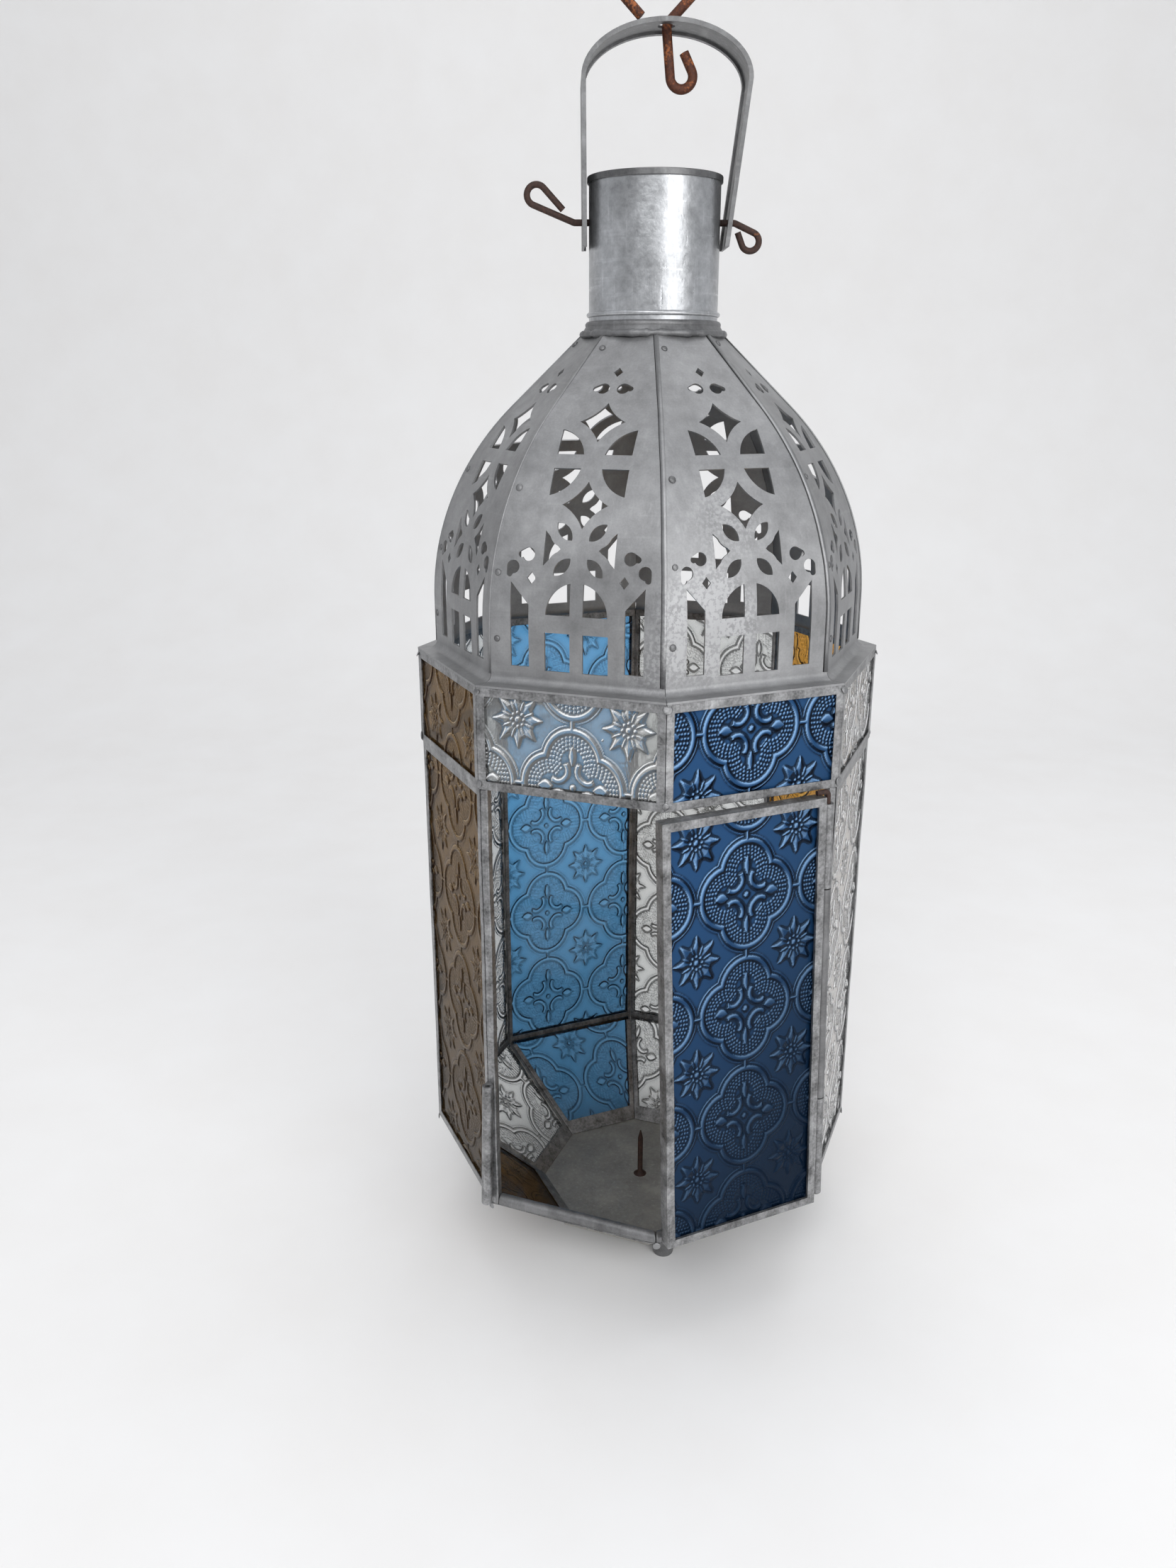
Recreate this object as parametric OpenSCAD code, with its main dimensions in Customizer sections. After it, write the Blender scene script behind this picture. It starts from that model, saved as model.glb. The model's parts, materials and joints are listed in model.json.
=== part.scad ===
// Octagonal candle lantern: a metal frame with embossed glass panes, a pierced dome of eight gores,
// a neck with a bail handle and a wire hanging hook, and one hinged door beside an open front.
// Millimetres, +Z up. The feet stand on z = 0 and a corner of the octagon points towards -Y.
// Faces are numbered 1 to 8: face 1 is left of the front corner, face 2 (the door) is right of it,
// and the rest follow round to the right.

/* [Body] */
// Radius of the octagonal body, from its axis to a corner
body_r = 94.5; // [88:0.5:102]
// How far the upper band stands proud of the body at its corners
band_proud = 0.6; // [0.1:0.1:1.5]
// Height of the tall side panels
side_h = 182; // [160:1:210]
// Height of the upper band
band_h = 39; // [32:1:50]
// Height of the sloping lower tier
lower_h = 34; // [26:1:42]
// Open seam between neighbouring frames and gores
seam = 0.2; // [0.1:0.05:0.4]

/* [Came and glass] */
// Width of a came strip, seen from the front
came_w = 3.3; // [2.8:0.1:4.2]
// Depth of a came strip, front to back
came_d = 3.8; // [3.5:0.1:4.6]
// Thickness of the glass
glass_t = 2.6; // [2:0.1:2.8]
// How far the glass reaches into its came
glass_lap = 1.2; // [0.8:0.1:1.5]
// Clearance between the glass and the faces of its slot
glass_gap = 0.1; // [0.05:0.05:0.2]
// Clearance between the edge of the glass and the bottom of its slot
glass_edge_gap = 0.15; // [0.1:0.05:0.3]

/* [Floor, feet and spike] */
// Radius of the octagonal floor plate, from its axis to a corner
floor_r = 51; // [46:0.5:56]
// Thickness of the floor plate
floor_t = 1; // [0.8:0.1:1.6]
// Height of a foot
foot_h = 9; // [6:0.5:12]
// Radius of a foot where it meets the floor plate
foot_top_r = 5.6; // [4:0.1:6]
// Radius of a foot where it stands
foot_tip_r = 4.4; // [3:0.1:5]
// Distance of a foot from the axis
foot_circle_r = 44; // [36:0.5:46]
// Turn of the ring of feet away from the front corner
foot_turn = 10; // [0:1:20]
// Number of feet
foot_count = 4; // [3:1:8]
// Height of the candle spike above the floor plate
spike_h = 23.5; // [16:0.5:30]
// Radius of the spike's straight shank
spike_r = 1.2; // [0.9:0.1:1.6]
// Height of the spike's point
spike_tip_h = 4; // [3:0.5:6]
// Flat at the end of the spike's point
spike_end_r = 0.3; // [0.2:0.1:0.5]
// Radius of the washer that the spike is soldered into
spike_base_r = 3; // [2.2:0.1:4]
// Height of that washer
spike_base_h = 1.6; // [1:0.1:2.5]

/* [Doorway] */
// Height of the flattened came that forms the sill
sill_h = 4; // [3:0.1:5]
// How far the sill stands further in than the came above it
sill_in = 0.6; // [0.2:0.1:1]
// Depth of the door's came, which is thicker than the body's
door_d = 5.2; // [4.4:0.1:6]
// Running gap behind the closed door
door_gap = 0.4; // [0.3:0.1:0.8]
// Angle that the door stands open at rest
door_ajar = 1.5; // [0:0.5:10]
// Lean of the hinge, and so of the door's sides, from upright
door_lean = 2; // [0:0.5:3]
// Height of the door's lower edge above the bottom of the sill
door_foot_gap = 2.4; // [0.5:0.1:4]
// Gap between the door's top and the band
door_head_gap = 1.4; // [1:0.1:3]
// How far the foot of the door's free edge stops short of the front corner
door_edge_gap = 1.6; // [0:0.1:3]

/* [Hinge] */
// Outer radius of a hinge sleeve
knuckle_r = 2.2; // [2:0.05:2.6]
// Clearance between the door's edge and the sleeves beside it
knuckle_clear = 0.15; // [0.1:0.05:0.3]
// How far the foot of the hinge stands past the corner of the octagon
hinge_past = 0.5; // [0.2:0.1:0.8]
// Radius of the hinge pin
hinge_pin_r = 1; // [0.8:0.05:1.2]
// Running clearance round the pin
hinge_fit = 0.06; // [0.03:0.01:0.09]
// Length of the door's lower sleeve
sleeve_low_h = 45.5; // [35:0.5:55]
// Length of the door's upper sleeve
sleeve_top_h = 34; // [26:0.5:42]
// Gap between one sleeve and the next
sleeve_gap = 0.5; // [0.3:0.1:1]
// Distance from each end of the door to its nearest sleeve
sleeve_inset = 3.2; // [2:0.1:5]
// Width of the web of solder that fixes a sleeve to its post
web_w = 2.6; // [2:0.1:3]
// Half thickness of that web on the door's side
web_in = 0.8; // [0.5:0.1:1.2]
// Length of the bent end of the hinge pin
pin_bend_l = 5; // [3.5:0.5:7]
// Gap between the bent end and the door's top
pin_bend_gap = 0.4; // [0.3:0.1:0.8]
// Length of the empty sleeve left on the other post
left_sleeve_h = 58; // [45:1:70]

/* [Dome] */
// Thickness of the dome's sheet metal
dome_t = 0.8; // [0.6:0.1:1]
// Width of the ledge that each gore turns out over the band
dome_ledge = 7.3; // [6:0.1:9]
// Radius of the bend between the ledge and the gore
ledge_bend_r = 3; // [2:0.1:4]
// Height of the straight part of a gore
dome_wall_h = 20.8; // [14:0.2:28]
// Radius of a gore's curve
dome_arc_r = 108; // [100:0.5:116]
// Angle through which a gore curves
dome_sweep = 44; // [42:0.5:46]

/* [Neck] */
// Outer radius of the neck tube
neck_r = 24.5; // [22:0.5:27]
// Wall of the neck tube
neck_t = 0.8; // [0.6:0.1:1.2]
// Height of the neck above the dome
neck_h = 54; // [45:0.5:65]
// Depth of the neck tube below the top of the dome
neck_plunge = 4; // [3:0.5:6]
// Clearance round the neck tube in the dome's crown
crown_gap = 0.3; // [0.2:0.05:0.5]
// Radius of the swaged bead round the neck
bead_r = 0.9; // [0.6:0.1:1.2]
// Height of that bead above the top of the dome
bead_up = 6.8; // [6:0.1:12]
// Height of the collar that covers the top of the dome
collar_h = 3.3; // [2.5:0.1:6]
// Radius of the rolled rim of the collar
collar_roll_r = 1.3; // [1:0.1:1.8]
// How far the collar's skirt spreads from the neck
collar_spread = 2.8; // [2.4:0.1:5]
// Thickness of the cap's sheet metal
cap_t = 0.6; // [0.4:0.05:0.8]
// Height of the cap's skirt
cap_skirt_h = 1.7; // [1.2:0.1:5]
// Clearance between the cap's skirt and the neck
cap_gap = 0.1; // [0.05:0.05:0.2]

/* [Bail handle] */
// Height of the bail's pivot below the top of the neck
pivot_drop = 14.8; // [12:0.2:20]
// Gap between the neck and the strap at the pivot
bail_gap = 1.7; // [1.6:0.1:2.5]
// Thickness of the bail strap
strap_t = 0.9; // [0.7:0.1:1.2]
// Width of the bail strap
strap_w = 20; // [16:0.5:24]
// Width of the hem folded in along each edge of the strap
hem_w = 2.6; // [2:0.1:3.5]
// Thickness that the hem adds on the inside
hem_t = 0.8; // [0.6:0.1:0.9]
// Length of the strap below the pivot
strap_tail = 9; // [7:0.5:12]
// Height of the strap's shoulders above the pivot
shoulder_h = 46.5; // [38:0.5:55]
// Lean of the left arm between its foot and its shoulder
lean_left = 0.4; // [0:0.1:2]
// Lean of the right arm between its foot and its shoulder
lean_right = 6.8; // [0:0.1:8]
// Rise of the arch above the shoulders
arch_rise = 18.1; // [14:0.1:24]
// Radius of the wire of the two bail pins
bail_pin_r = 1.2; // [1:0.05:1.4]
// Clearance of the bail pins in the strap and the neck
bail_pin_fit = 0.1; // [0.05:0.01:0.1]
// Length of a bail pin's clinched tail inside the neck
pin_tail_l = 5; // [4:0.5:6]
// Distance from the neck's wall to that tail
pin_tail_in = 2.7; // [2.4:0.1:3.5]
// Distance from its root to the middle of the left pin's eye
eye_left_reach = 16.8; // [12:0.1:20]
// Radius of the left pin's eye, to the middle of the wire
eye_left_r = 3.6; // [3:0.1:5]
// Rise of the left pin's eye
eye_left_angle = 34; // [10:1:60]
// Distance from its root to the middle of the right pin's eye
eye_right_reach = 8.8; // [7:0.1:16]
// Radius of the right pin's eye, to the middle of the wire
eye_right_r = 3.3; // [3:0.1:5]
// Fall of the right pin's eye
eye_right_angle = -46; // [-70:1:-10]
// Gap between the loose end of an eye and its other leg
eye_gap = 0.2; // [0.1:0.05:1]

/* [Hanging hook] */
// Radius of the hook's wire
hook_wire_r = 1.75; // [1.4:0.05:2]
// Radius of the hole in the strap that the hook passes through
hook_hole_r = 3.1; // [2.9:0.1:3.6]
// Radius of the hanging loop, to the middle of the wire
loop_r = 18; // [14:0.5:24]
// Lean of the loop's two legs from upright
leg_lean = 45; // [35:1:50]
// Distance from the hole's axis to the middle of the loop
loop_offset = 3.2; // [2.5:0.1:4.5]
// Clearance between the loose end of the loop and the strap
leg_end_gap = 0.4; // [0.3:0.1:1]
// Length of the shank below the strap
shank_l = 17; // [14:0.5:22]
// Lean of that shank
shank_lean = 5.7; // [0:0.1:10]
// Radius of the curl at its end
curl_r = 4.1; // [3.4:0.1:5]
// Angle through which the curl turns
curl_sweep = 201; // [180:1:215]
// Straight end of the wire after the curl
curl_end_l = 6.5; // [4:0.5:8]

/* [Hidden] */
sides = 8;
half_turn = 180 / sides;
// Overrun of every cut
over = 1;
// Steps along a hollow side of a star, and points along the bail's arch
star_steps = 6;
arch_steps = 32;
// Inner bend of a wire in radii of the wire, the angle between its rings and the sides of a ring
wire_bend = 1.8;
wire_step = 9;
wire_sides = 20;
$fn = 64;

body_a = body_r * cos(half_turn);
band_a = (body_r + band_proud) * cos(half_turn);
floor_a = floor_r * cos(half_turn);
z_floor = foot_h;
z_floor_top = z_floor + floor_t;
z_sill = z_floor_top + lower_h;
z_band = z_sill + side_h;
z_dome = z_band + band_h;
slot_t = glass_t + 2 * glass_gap;
glass_inset = came_w - glass_lap;
slot_inset = glass_inset - glass_edge_gap;

// Slope of the lower tier
slope_run = body_a - floor_a;
slope_l = norm([slope_run, lower_h]);
slope_angle = atan2(slope_run, lower_h);

// Meridian of the dome: a straight wall, an arc and a straight run up to the neck
dome_a = band_a - dome_ledge;
z_arc = z_dome + dome_wall_h;
arc_centre_a = dome_a - dome_arc_r;
arc_end_a = arc_centre_a + dome_arc_r * cos(dome_sweep);
z_arc_end = z_arc + dome_arc_r * sin(dome_sweep);
crown_a = neck_r + crown_gap;
crown_l = (arc_end_a - crown_a) / sin(dome_sweep);
z_crown = z_arc_end + crown_l * cos(dome_sweep);
arc_l = PI * dome_arc_r * dome_sweep / 180;
gore_l = dome_wall_h + arc_l + crown_l;
gore_half = dome_a * tan(half_turn);

z_neck = z_crown - neck_plunge;
z_cap = z_crown + neck_h;
z_pivot = z_cap - pivot_drop;
collar_r = neck_r + collar_spread;
collar_low_z = z_crown - (collar_r * cos(half_turn) - crown_a) / tan(dome_sweep) + crown_gap;

// Hinge axis, in the frame of the door's face: along the face and out from the lantern's axis
hinge_n = body_a + door_gap + door_d / 2;
corner_t = body_a * tan(half_turn);
hinge_t = corner_t + hinge_past;
knuckle_bore_r = hinge_pin_r + hinge_fit;
door_near = knuckle_r + knuckle_clear;
door_far = hinge_t + corner_t - door_edge_gap;
door_z0 = z_sill + door_foot_gap;
door_z1 = z_band - door_head_gap;
sleeve_z0 = door_z0 + sleeve_inset;
sleeve_z1 = sleeve_z0 + sleeve_low_h;
sleeve_z3 = door_z1 - sleeve_inset;
sleeve_z2 = sleeve_z3 - sleeve_top_h;

// Inside of the bail strap, measured from its pivot
bail_foot = neck_r + bail_gap;
shoulder_left = bail_foot + lean_left;
shoulder_right = bail_foot + lean_right;
arch_x = (shoulder_right - shoulder_left) / 2;
arch_half = (shoulder_right + shoulder_left) / 2;
z_apex = z_pivot + shoulder_h + arch_rise + strap_t;
bail_bore_r = bail_pin_r + bail_pin_fit;
eye_root = bail_foot + strap_t + lean_right * strap_tail / (shoulder_h + strap_tail) + 1.5 * bail_pin_r;

tin = [0.56, 0.57, 0.59];
dull_tin = [0.47, 0.48, 0.5];
bright_tin = [0.66, 0.67, 0.7];
rust = [0.27, 0.16, 0.12];
clear_glass = [0.83, 0.86, 0.85, 0.45];
blue_glass = [0.1, 0.28, 0.62, 0.65];
amber_glass = [0.62, 0.4, 0.1, 0.65];
glass_colours = [clear_glass, blue_glass, clear_glass, amber_glass];

// Frames of reference

function face_angle(k) = (k - 1.5) * 2 * half_turn;

// Turns children from facing -Y to facing out of face k.
module on_face(k) rotate([0, 0, face_angle(k)]) children();

// Stands a flat piece up: its outline lies along the face and up, and its outer side is at z = 0.
module upright(a) translate([0, -a, 0]) rotate([90, 0, 0]) children();

// The same for a piece of the sloping tier, with its lower edge on the floor plate.
module sloped() translate([0, -floor_a, z_floor_top]) rotate([90 + slope_angle, 0, 0]) children();

// The eighth of the lantern that belongs to one face, less half a seam on each side.
module wedge(z0, z1) {
    reach = 2 * body_r;
    translate([0, -seam / 2 / sin(half_turn), z0])
        linear_extrude(z1 - z0)
            polygon([[0, 0], [-reach * tan(half_turn), -reach], [reach * tan(half_turn), -reach]]);
}

// The hinge axis of the door, which leans along the door's face from its foot at the sill.
module at_hinge() on_face(2) translate([hinge_t, -hinge_n, z_sill])
    rotate([0, -door_lean, 0]) translate([0, 0, -z_sill]) children();

// Came and glass

function box_points(x0, x1, y0, y1, inset) = [
    [x0 + inset, y0 + inset], [x1 - inset, y0 + inset],
    [x1 - inset, y1 - inset], [x0 + inset, y1 - inset]
];

// Outline of a pane of the sloping tier, drawn in by inset on all four sides.
function slope_points(inset) =
    let (low = floor_a * tan(half_turn), grow = (corner_t - low) / slope_l)
    let (side = inset * sqrt(1 + grow * grow))
    let (h0 = low + grow * inset - side, h1 = corner_t - grow * inset - side)
    [[-h0, inset], [h0, inset], [h1, slope_l - inset], [-h1, slope_l - inset]];

// A slab of came with a window and, inside it, the slot that the glass sits in.
module came_ring(outline, window, slot, d = came_d) {
    difference() {
        translate([0, 0, -d]) linear_extrude(d) polygon(outline);
        translate([0, 0, -d - over]) linear_extrude(d + 2 * over) polygon(window);
        translate([0, 0, -(d + slot_t) / 2]) linear_extrude(slot_t) polygon(slot);
    }
}

module glass_sheet(outline, d = came_d)
    translate([0, 0, -(d + glass_t) / 2]) linear_extrude(glass_t) polygon(outline);

module box_ring(x0, x1, y0, y1)
    came_ring(box_points(x0, x1, y0, y1, 0), box_points(x0, x1, y0, y1, came_w),
        box_points(x0, x1, y0, y1, slot_inset));

module face_frame(k, a, z0, z1) {
    half = a * tan(half_turn);
    on_face(k) intersection() {
        upright(a) box_ring(-half, half, z0, z1);
        wedge(z0, z1);
    }
}

module face_pane(k, a, z0, z1) {
    half = a * tan(half_turn);
    color(glass_colours[(k - 1) % len(glass_colours)])
        on_face(k) upright(a) glass_sheet(box_points(-half, half, z0, z1, glass_inset));
}

// Lower tier, floor and feet

module floor_plate() {
    color(dull_tin) difference() {
        translate([0, 0, z_floor]) linear_extrude(floor_t)
            polygon([for (i = [0:sides - 1]) floor_r * [sin(2 * half_turn * i), -cos(2 * half_turn * i)]]);
        translate([0, 0, z_floor - over]) cylinder(h = floor_t + 2 * over, r = spike_r);
    }
}

module feet() {
    color(tin) for (i = [0:foot_count - 1])
        rotate([0, 0, foot_turn + 360 * i / foot_count]) translate([0, -foot_circle_r, 0])
            cylinder(h = foot_h, r1 = foot_tip_r, r2 = foot_top_r);
}

module candle_spike() {
    color(rust) {
        translate([0, 0, z_floor]) cylinder(h = floor_t + spike_h - spike_tip_h, r = spike_r);
        translate([0, 0, z_floor_top + spike_h - spike_tip_h])
            cylinder(h = spike_tip_h, r1 = spike_r, r2 = spike_end_r);
        translate([0, 0, z_floor_top]) cylinder(h = spike_base_h, r1 = spike_base_r, r2 = spike_r);
    }
}

module lower_frame() {
    color(tin) for (k = [1:sides]) on_face(k) intersection() {
        sloped() came_ring(slope_points(-came_d), slope_points(came_w), slope_points(slot_inset));
        wedge(z_floor_top, z_sill);
    }
}

// The upper edge of the pane is ground level, so it stays below the panel above.
module lower_pane(k) {
    color(glass_colours[(k - 1) % len(glass_colours)]) on_face(k) intersection() {
        sloped() glass_sheet(slope_points(glass_inset));
        wedge(z_floor_top, z_sill - glass_edge_gap);
    }
}

// Doorway: faces 1 and 2

// A strip of flattened came with a rounded top, from the post to the front corner.
module sill_bar() {
    depth = came_d + sill_in;
    round_r = depth / 2;
    intersection() {
        translate([came_w - corner_t, -body_a, z_sill]) rotate([90, 0, 90]) linear_extrude(2 * corner_t) {
            square([depth, sill_h - round_r]);
            translate([round_r, sill_h - round_r]) circle(round_r);
        }
        wedge(z_sill, z_sill + sill_h + over);
    }
}

module door_sill() {
    color(bright_tin) {
        on_face(1) sill_bar();
        on_face(2) mirror([1, 0, 0]) sill_bar();
    }
}

module door_post() {
    intersection() {
        upright(body_a) translate([0, 0, -came_d]) linear_extrude(came_d)
            polygon(box_points(-corner_t, came_w - corner_t, z_sill, z_band, 0));
        wedge(z_sill, z_band);
    }
}

module door_posts() {
    color(tin) {
        on_face(1) door_post();
        on_face(2) mirror([1, 0, 0]) door_post();
    }
}

// A sleeve of folded sheet on a web of solder that reaches back to the face of its post.
module post_knuckle(z0, z1) {
    translate([0, 0, z0]) linear_extrude(z1 - z0) difference() {
        union() {
            circle(knuckle_r);
            translate([-web_in, 0]) square([web_w, hinge_n - body_a]);
        }
        circle(knuckle_bore_r);
    }
}

module post_sleeve() {
    color(dull_tin) at_hinge() post_knuckle(sleeve_z1 + sleeve_gap, sleeve_z2 - sleeve_gap);
}

module left_sleeve() {
    color(dull_tin) mirror([1, 0, 0]) at_hinge() post_knuckle(z_sill + door_foot_gap, z_sill + left_sleeve_h);
}

module hinge_pin() {
    bend_r = 1.5 * hinge_pin_r;
    bend_z = door_z1 + pin_bend_gap + hinge_pin_r;
    color(rust) at_hinge() {
        translate([0, 0, sleeve_z0]) cylinder(h = bend_z - bend_r - sleeve_z0, r = hinge_pin_r);
        translate([-bend_r, 0, bend_z - bend_r]) rotate([90, 0, 0]) rotate_extrude(angle = 90)
            translate([bend_r, 0]) circle(hinge_pin_r);
        translate([-bend_r, 0, bend_z]) rotate([0, -90, 0]) cylinder(h = pin_bend_l - bend_r, r = hinge_pin_r);
    }
}

// Door, hung on the hinge axis and standing ajar

module door_place() at_hinge() rotate([0, 0, door_ajar]) children();

// Outline of the door, drawn in by inset: its sides lean with the hinge, its rails stay level.
function door_points(inset) = [
    for (p = box_points(-door_far, -door_near, door_z0, door_z1, inset)) [p.x, p.y - p.x * tan(door_lean)]
];

module door_frame() {
    color(tin) door_place() upright(door_d / 2)
        came_ring(door_points(0), door_points(came_w), door_points(slot_inset), door_d);
}

module door_pane() {
    color(blue_glass) door_place() upright(door_d / 2) glass_sheet(door_points(glass_inset), door_d);
}

module door_knuckle(z0, z1) {
    web = web_w / 2;
    translate([0, 0, z0]) linear_extrude(z1 - z0) difference() {
        union() {
            circle(knuckle_r);
            translate([-door_near, -web]) square([door_near, 2 * web]);
        }
        circle(knuckle_bore_r);
    }
}

module door_sleeves() {
    color(tin) door_place() {
        door_knuckle(sleeve_z0, sleeve_z1);
        door_knuckle(sleeve_z2, sleeve_z3);
    }
}

// Upper band

module band_frame() {
    color(tin) for (k = [1:sides]) face_frame(k, band_a, z_band, z_dome);
}

// Dome

// Section of a gore through the middle of its face: distance from the axis, then height.
module gore_section() {
    wall_l = dome_wall_h - dome_t - ledge_bend_r;
    bend = [dome_a + ledge_bend_r, z_dome + dome_t + ledge_bend_r];
    reach = 2 * dome_arc_r;
    translate([bend.x, z_dome]) square([dome_ledge - ledge_bend_r, dome_t]);
    intersection() {
        translate(bend) difference() {
            circle(ledge_bend_r + dome_t);
            circle(ledge_bend_r);
        }
        translate([dome_a - dome_t, z_dome]) square(ledge_bend_r + dome_t);
    }
    translate([dome_a - dome_t, bend.y]) square([dome_t, wall_l]);
    intersection() {
        translate([arc_centre_a, z_arc]) difference() {
            circle(dome_arc_r, $fn = 256);
            circle(dome_arc_r - dome_t, $fn = 256);
        }
        translate([arc_centre_a, z_arc])
            polygon([[0, 0], [reach, 0], [reach * cos(dome_sweep), reach * sin(dome_sweep)]]);
    }
    intersection() {
        translate([arc_end_a, z_arc_end]) rotate([0, 0, dome_sweep])
            translate([-dome_t, 0]) square([dome_t, crown_l + neck_plunge]);
        translate([crown_a, z_arc]) square([dome_a, z_crown - z_arc]);
    }
}

// Carries children to a place on the gore's sheet: up is measured along the sheet from the band.
// There x runs along the face, y up the sheet and z out of it.
module on_sheet(up) {
    turn = min(max((up - dome_wall_h) / arc_l, 0), 1) * dome_sweep;
    straight = min(up - dome_wall_h, 0);
    beyond = max(up - dome_wall_h - arc_l, 0);
    a = arc_centre_a + dome_arc_r * cos(turn) - beyond * sin(turn);
    z = z_arc + dome_arc_r * sin(turn) + straight + beyond * cos(turn);
    translate([0, -a, z]) rotate([90 - turn, 0, 0]) children();
}

// Cuts a flat shape through the sheet.
module pierce(up) {
    depth = 8 * dome_t;
    on_sheet(up) translate([0, 0, -depth / 2]) linear_extrude(depth) children();
}

// The same for a shape and its mirror image.
module pierce_pair(up) {
    pierce(up) children();
    pierce(up) mirror([1, 0]) children();
}

// The pattern is laid out in shares of the gore's half width and, up the sheet, of its length.
window_shares = [[0.545, 0.053], [0.757, 0.053], [0.757, 0.269], [0.545, 0.213]];
light_shares = [[0.073, 0.046], [0.36, 0.046], [0.36, 0.145], [0.073, 0.145]];
arch_foot_share = 0.19;
arch_share = 0.35;
flower_share = 0.355;
star_share = 0.467;
rings_share = 0.582;
crown_star_share = 0.698;
top_diamond_share = 0.862;
ring_centre_share = 0.503;
ring_inner_share = 0.395;
ring_flat_share = 0.42;
bar_share = 0.082;
star_half_share = 0.256;
leaf_centre_share = 0.262;
leaf_reach_share = 0.128;
leaf_arc_share = 0.16;
leaf_ring_share = 0.165;
spur_shares = [[0.4, 0.19], [0.215, 0], [0.4, -0.18]];
diamond_shares = [0.052, 0.065];
comma_r_share = 0.072;
comma_tail_share = 0.034;
comma_lean = 60;
low_diamond_place = [0.521, 0.28];
inner_comma_place = [0.572, 0.339];
outer_comma_place = [0.74, 0.306];
top_comma_place = [0.114, 0.807];

module shares(points) polygon([for (p = points) [p.x * gore_half, p.y * gore_half]]);

// A square standing on its point, with four sides hollowed round the rings beside it.
module hollow_star() {
    h = star_half_share * gore_half;
    c = ring_centre_share * gore_half;
    a0 = atan2(h - c, -c);
    a1 = atan2(-c, h - c);
    r = norm([c, c - h]);
    for (q = [0:3]) rotate([0, 0, 90 * q]) polygon(concat(
        [[0, 0], [0, h]],
        [for (i = [1:star_steps]) let (a = a0 + (a1 - a0) * i / star_steps) [c + r * cos(a), c + r * sin(a)]]
    ));
}

// Half of a ring's opening, above or below the cross bar.
module ring_light() {
    r = ring_inner_share * gore_half;
    intersection() {
        translate([-ring_centre_share * gore_half, 0]) circle(r);
        translate([-ring_flat_share * gore_half, bar_share * gore_half]) square([r, r]);
    }
}

// A pointed leaf along +X, its middle at the origin.
module leaf() {
    reach = leaf_reach_share * gore_half;
    r = leaf_arc_share * gore_half;
    drop = sqrt(r * r - reach * reach);
    intersection() {
        translate([0, drop]) circle(r);
        translate([0, -drop]) circle(r);
    }
}

// A round drop with a small round tail, its middle at the origin, leaning by turn.
module comma(turn) {
    r = comma_r_share * gore_half;
    tail = comma_tail_share * gore_half;
    rotate([0, 0, turn]) {
        circle(r);
        translate([0, -r]) square([r, r]);
        translate([r - tail, -r]) circle(tail);
    }
}

module small_diamond() {
    polygon([for (i = [0:3]) gore_half * [diamond_shares.x * sin(90 * i), diamond_shares.y * cos(90 * i)]]);
}

module gore_piercing() {
    // Tall windows with a raked head, and a pair of square lights under a round arch
    window_mid = (window_shares[0].y + window_shares[2].y) / 2;
    pierce_pair(window_mid * gore_l)
        polygon([for (p = window_shares) [p.x * gore_half, (p.y - window_mid) * gore_l]]);
    light_mid = (light_shares[0].y + light_shares[2].y) / 2;
    pierce_pair(light_mid * gore_l)
        polygon([for (p = light_shares) [p.x * gore_half, (p.y - light_mid) * gore_l]]);
    pierce_pair(arch_foot_share * gore_l) intersection() {
        circle(arch_share * gore_half);
        translate([light_shares[0].x * gore_half, 0]) square(arch_share * gore_half);
    }
    // Flower of four leaves, with a spur on each side
    pierce_pair(flower_share * gore_l) {
        for (j = [-1, 1]) rotate([0, 0, 45 * j]) translate([leaf_centre_share * gore_half, 0]) leaf();
        difference() {
            shares(spur_shares);
            for (j = [-1, 1]) rotate([0, 0, 45 * j])
                translate([leaf_centre_share * gore_half, 0]) circle(leaf_ring_share * gore_half);
        }
    }
    // Interlaced rings, with hollow stars between them
    pierce(star_share * gore_l) hollow_star();
    pierce_pair(rings_share * gore_l) for (j = [0, 1]) mirror([0, j]) ring_light();
    pierce(crown_star_share * gore_l) hollow_star();
    // Commas and small diamonds
    pierce_pair(low_diamond_place.y * gore_l) translate([low_diamond_place.x * gore_half, 0]) small_diamond();
    pierce_pair(inner_comma_place.y * gore_l)
        translate([inner_comma_place.x * gore_half, 0]) comma(comma_lean);
    pierce_pair(outer_comma_place.y * gore_l) translate([outer_comma_place.x * gore_half, 0]) comma(0);
    pierce_pair(top_comma_place.y * gore_l) translate([top_comma_place.x * gore_half, 0]) comma(comma_lean);
    pierce(top_diamond_share * gore_l) small_diamond();
}

module dome_gore(k) {
    color(tin) on_face(k) difference() {
        intersection() {
            rotate([90, 0, -90]) translate([0, 0, -body_r]) linear_extrude(2 * body_r) gore_section();
            wedge(z_dome, z_cap);
        }
        gore_piercing();
    }
}

// Neck

module neck_tube() {
    color(bright_tin) difference() {
        union() {
            translate([0, 0, z_neck]) cylinder(h = z_cap - z_neck, r = neck_r);
            translate([0, 0, z_crown + bead_up]) rotate_extrude() translate([neck_r, 0]) circle(bead_r);
        }
        translate([0, 0, z_neck - over]) cylinder(h = z_cap - z_neck + 2 * over, r = neck_r - neck_t);
        translate([-2 * neck_r, 0, z_pivot]) rotate([0, 90, 0]) cylinder(h = 4 * neck_r, r = bail_bore_r);
    }
}

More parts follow.
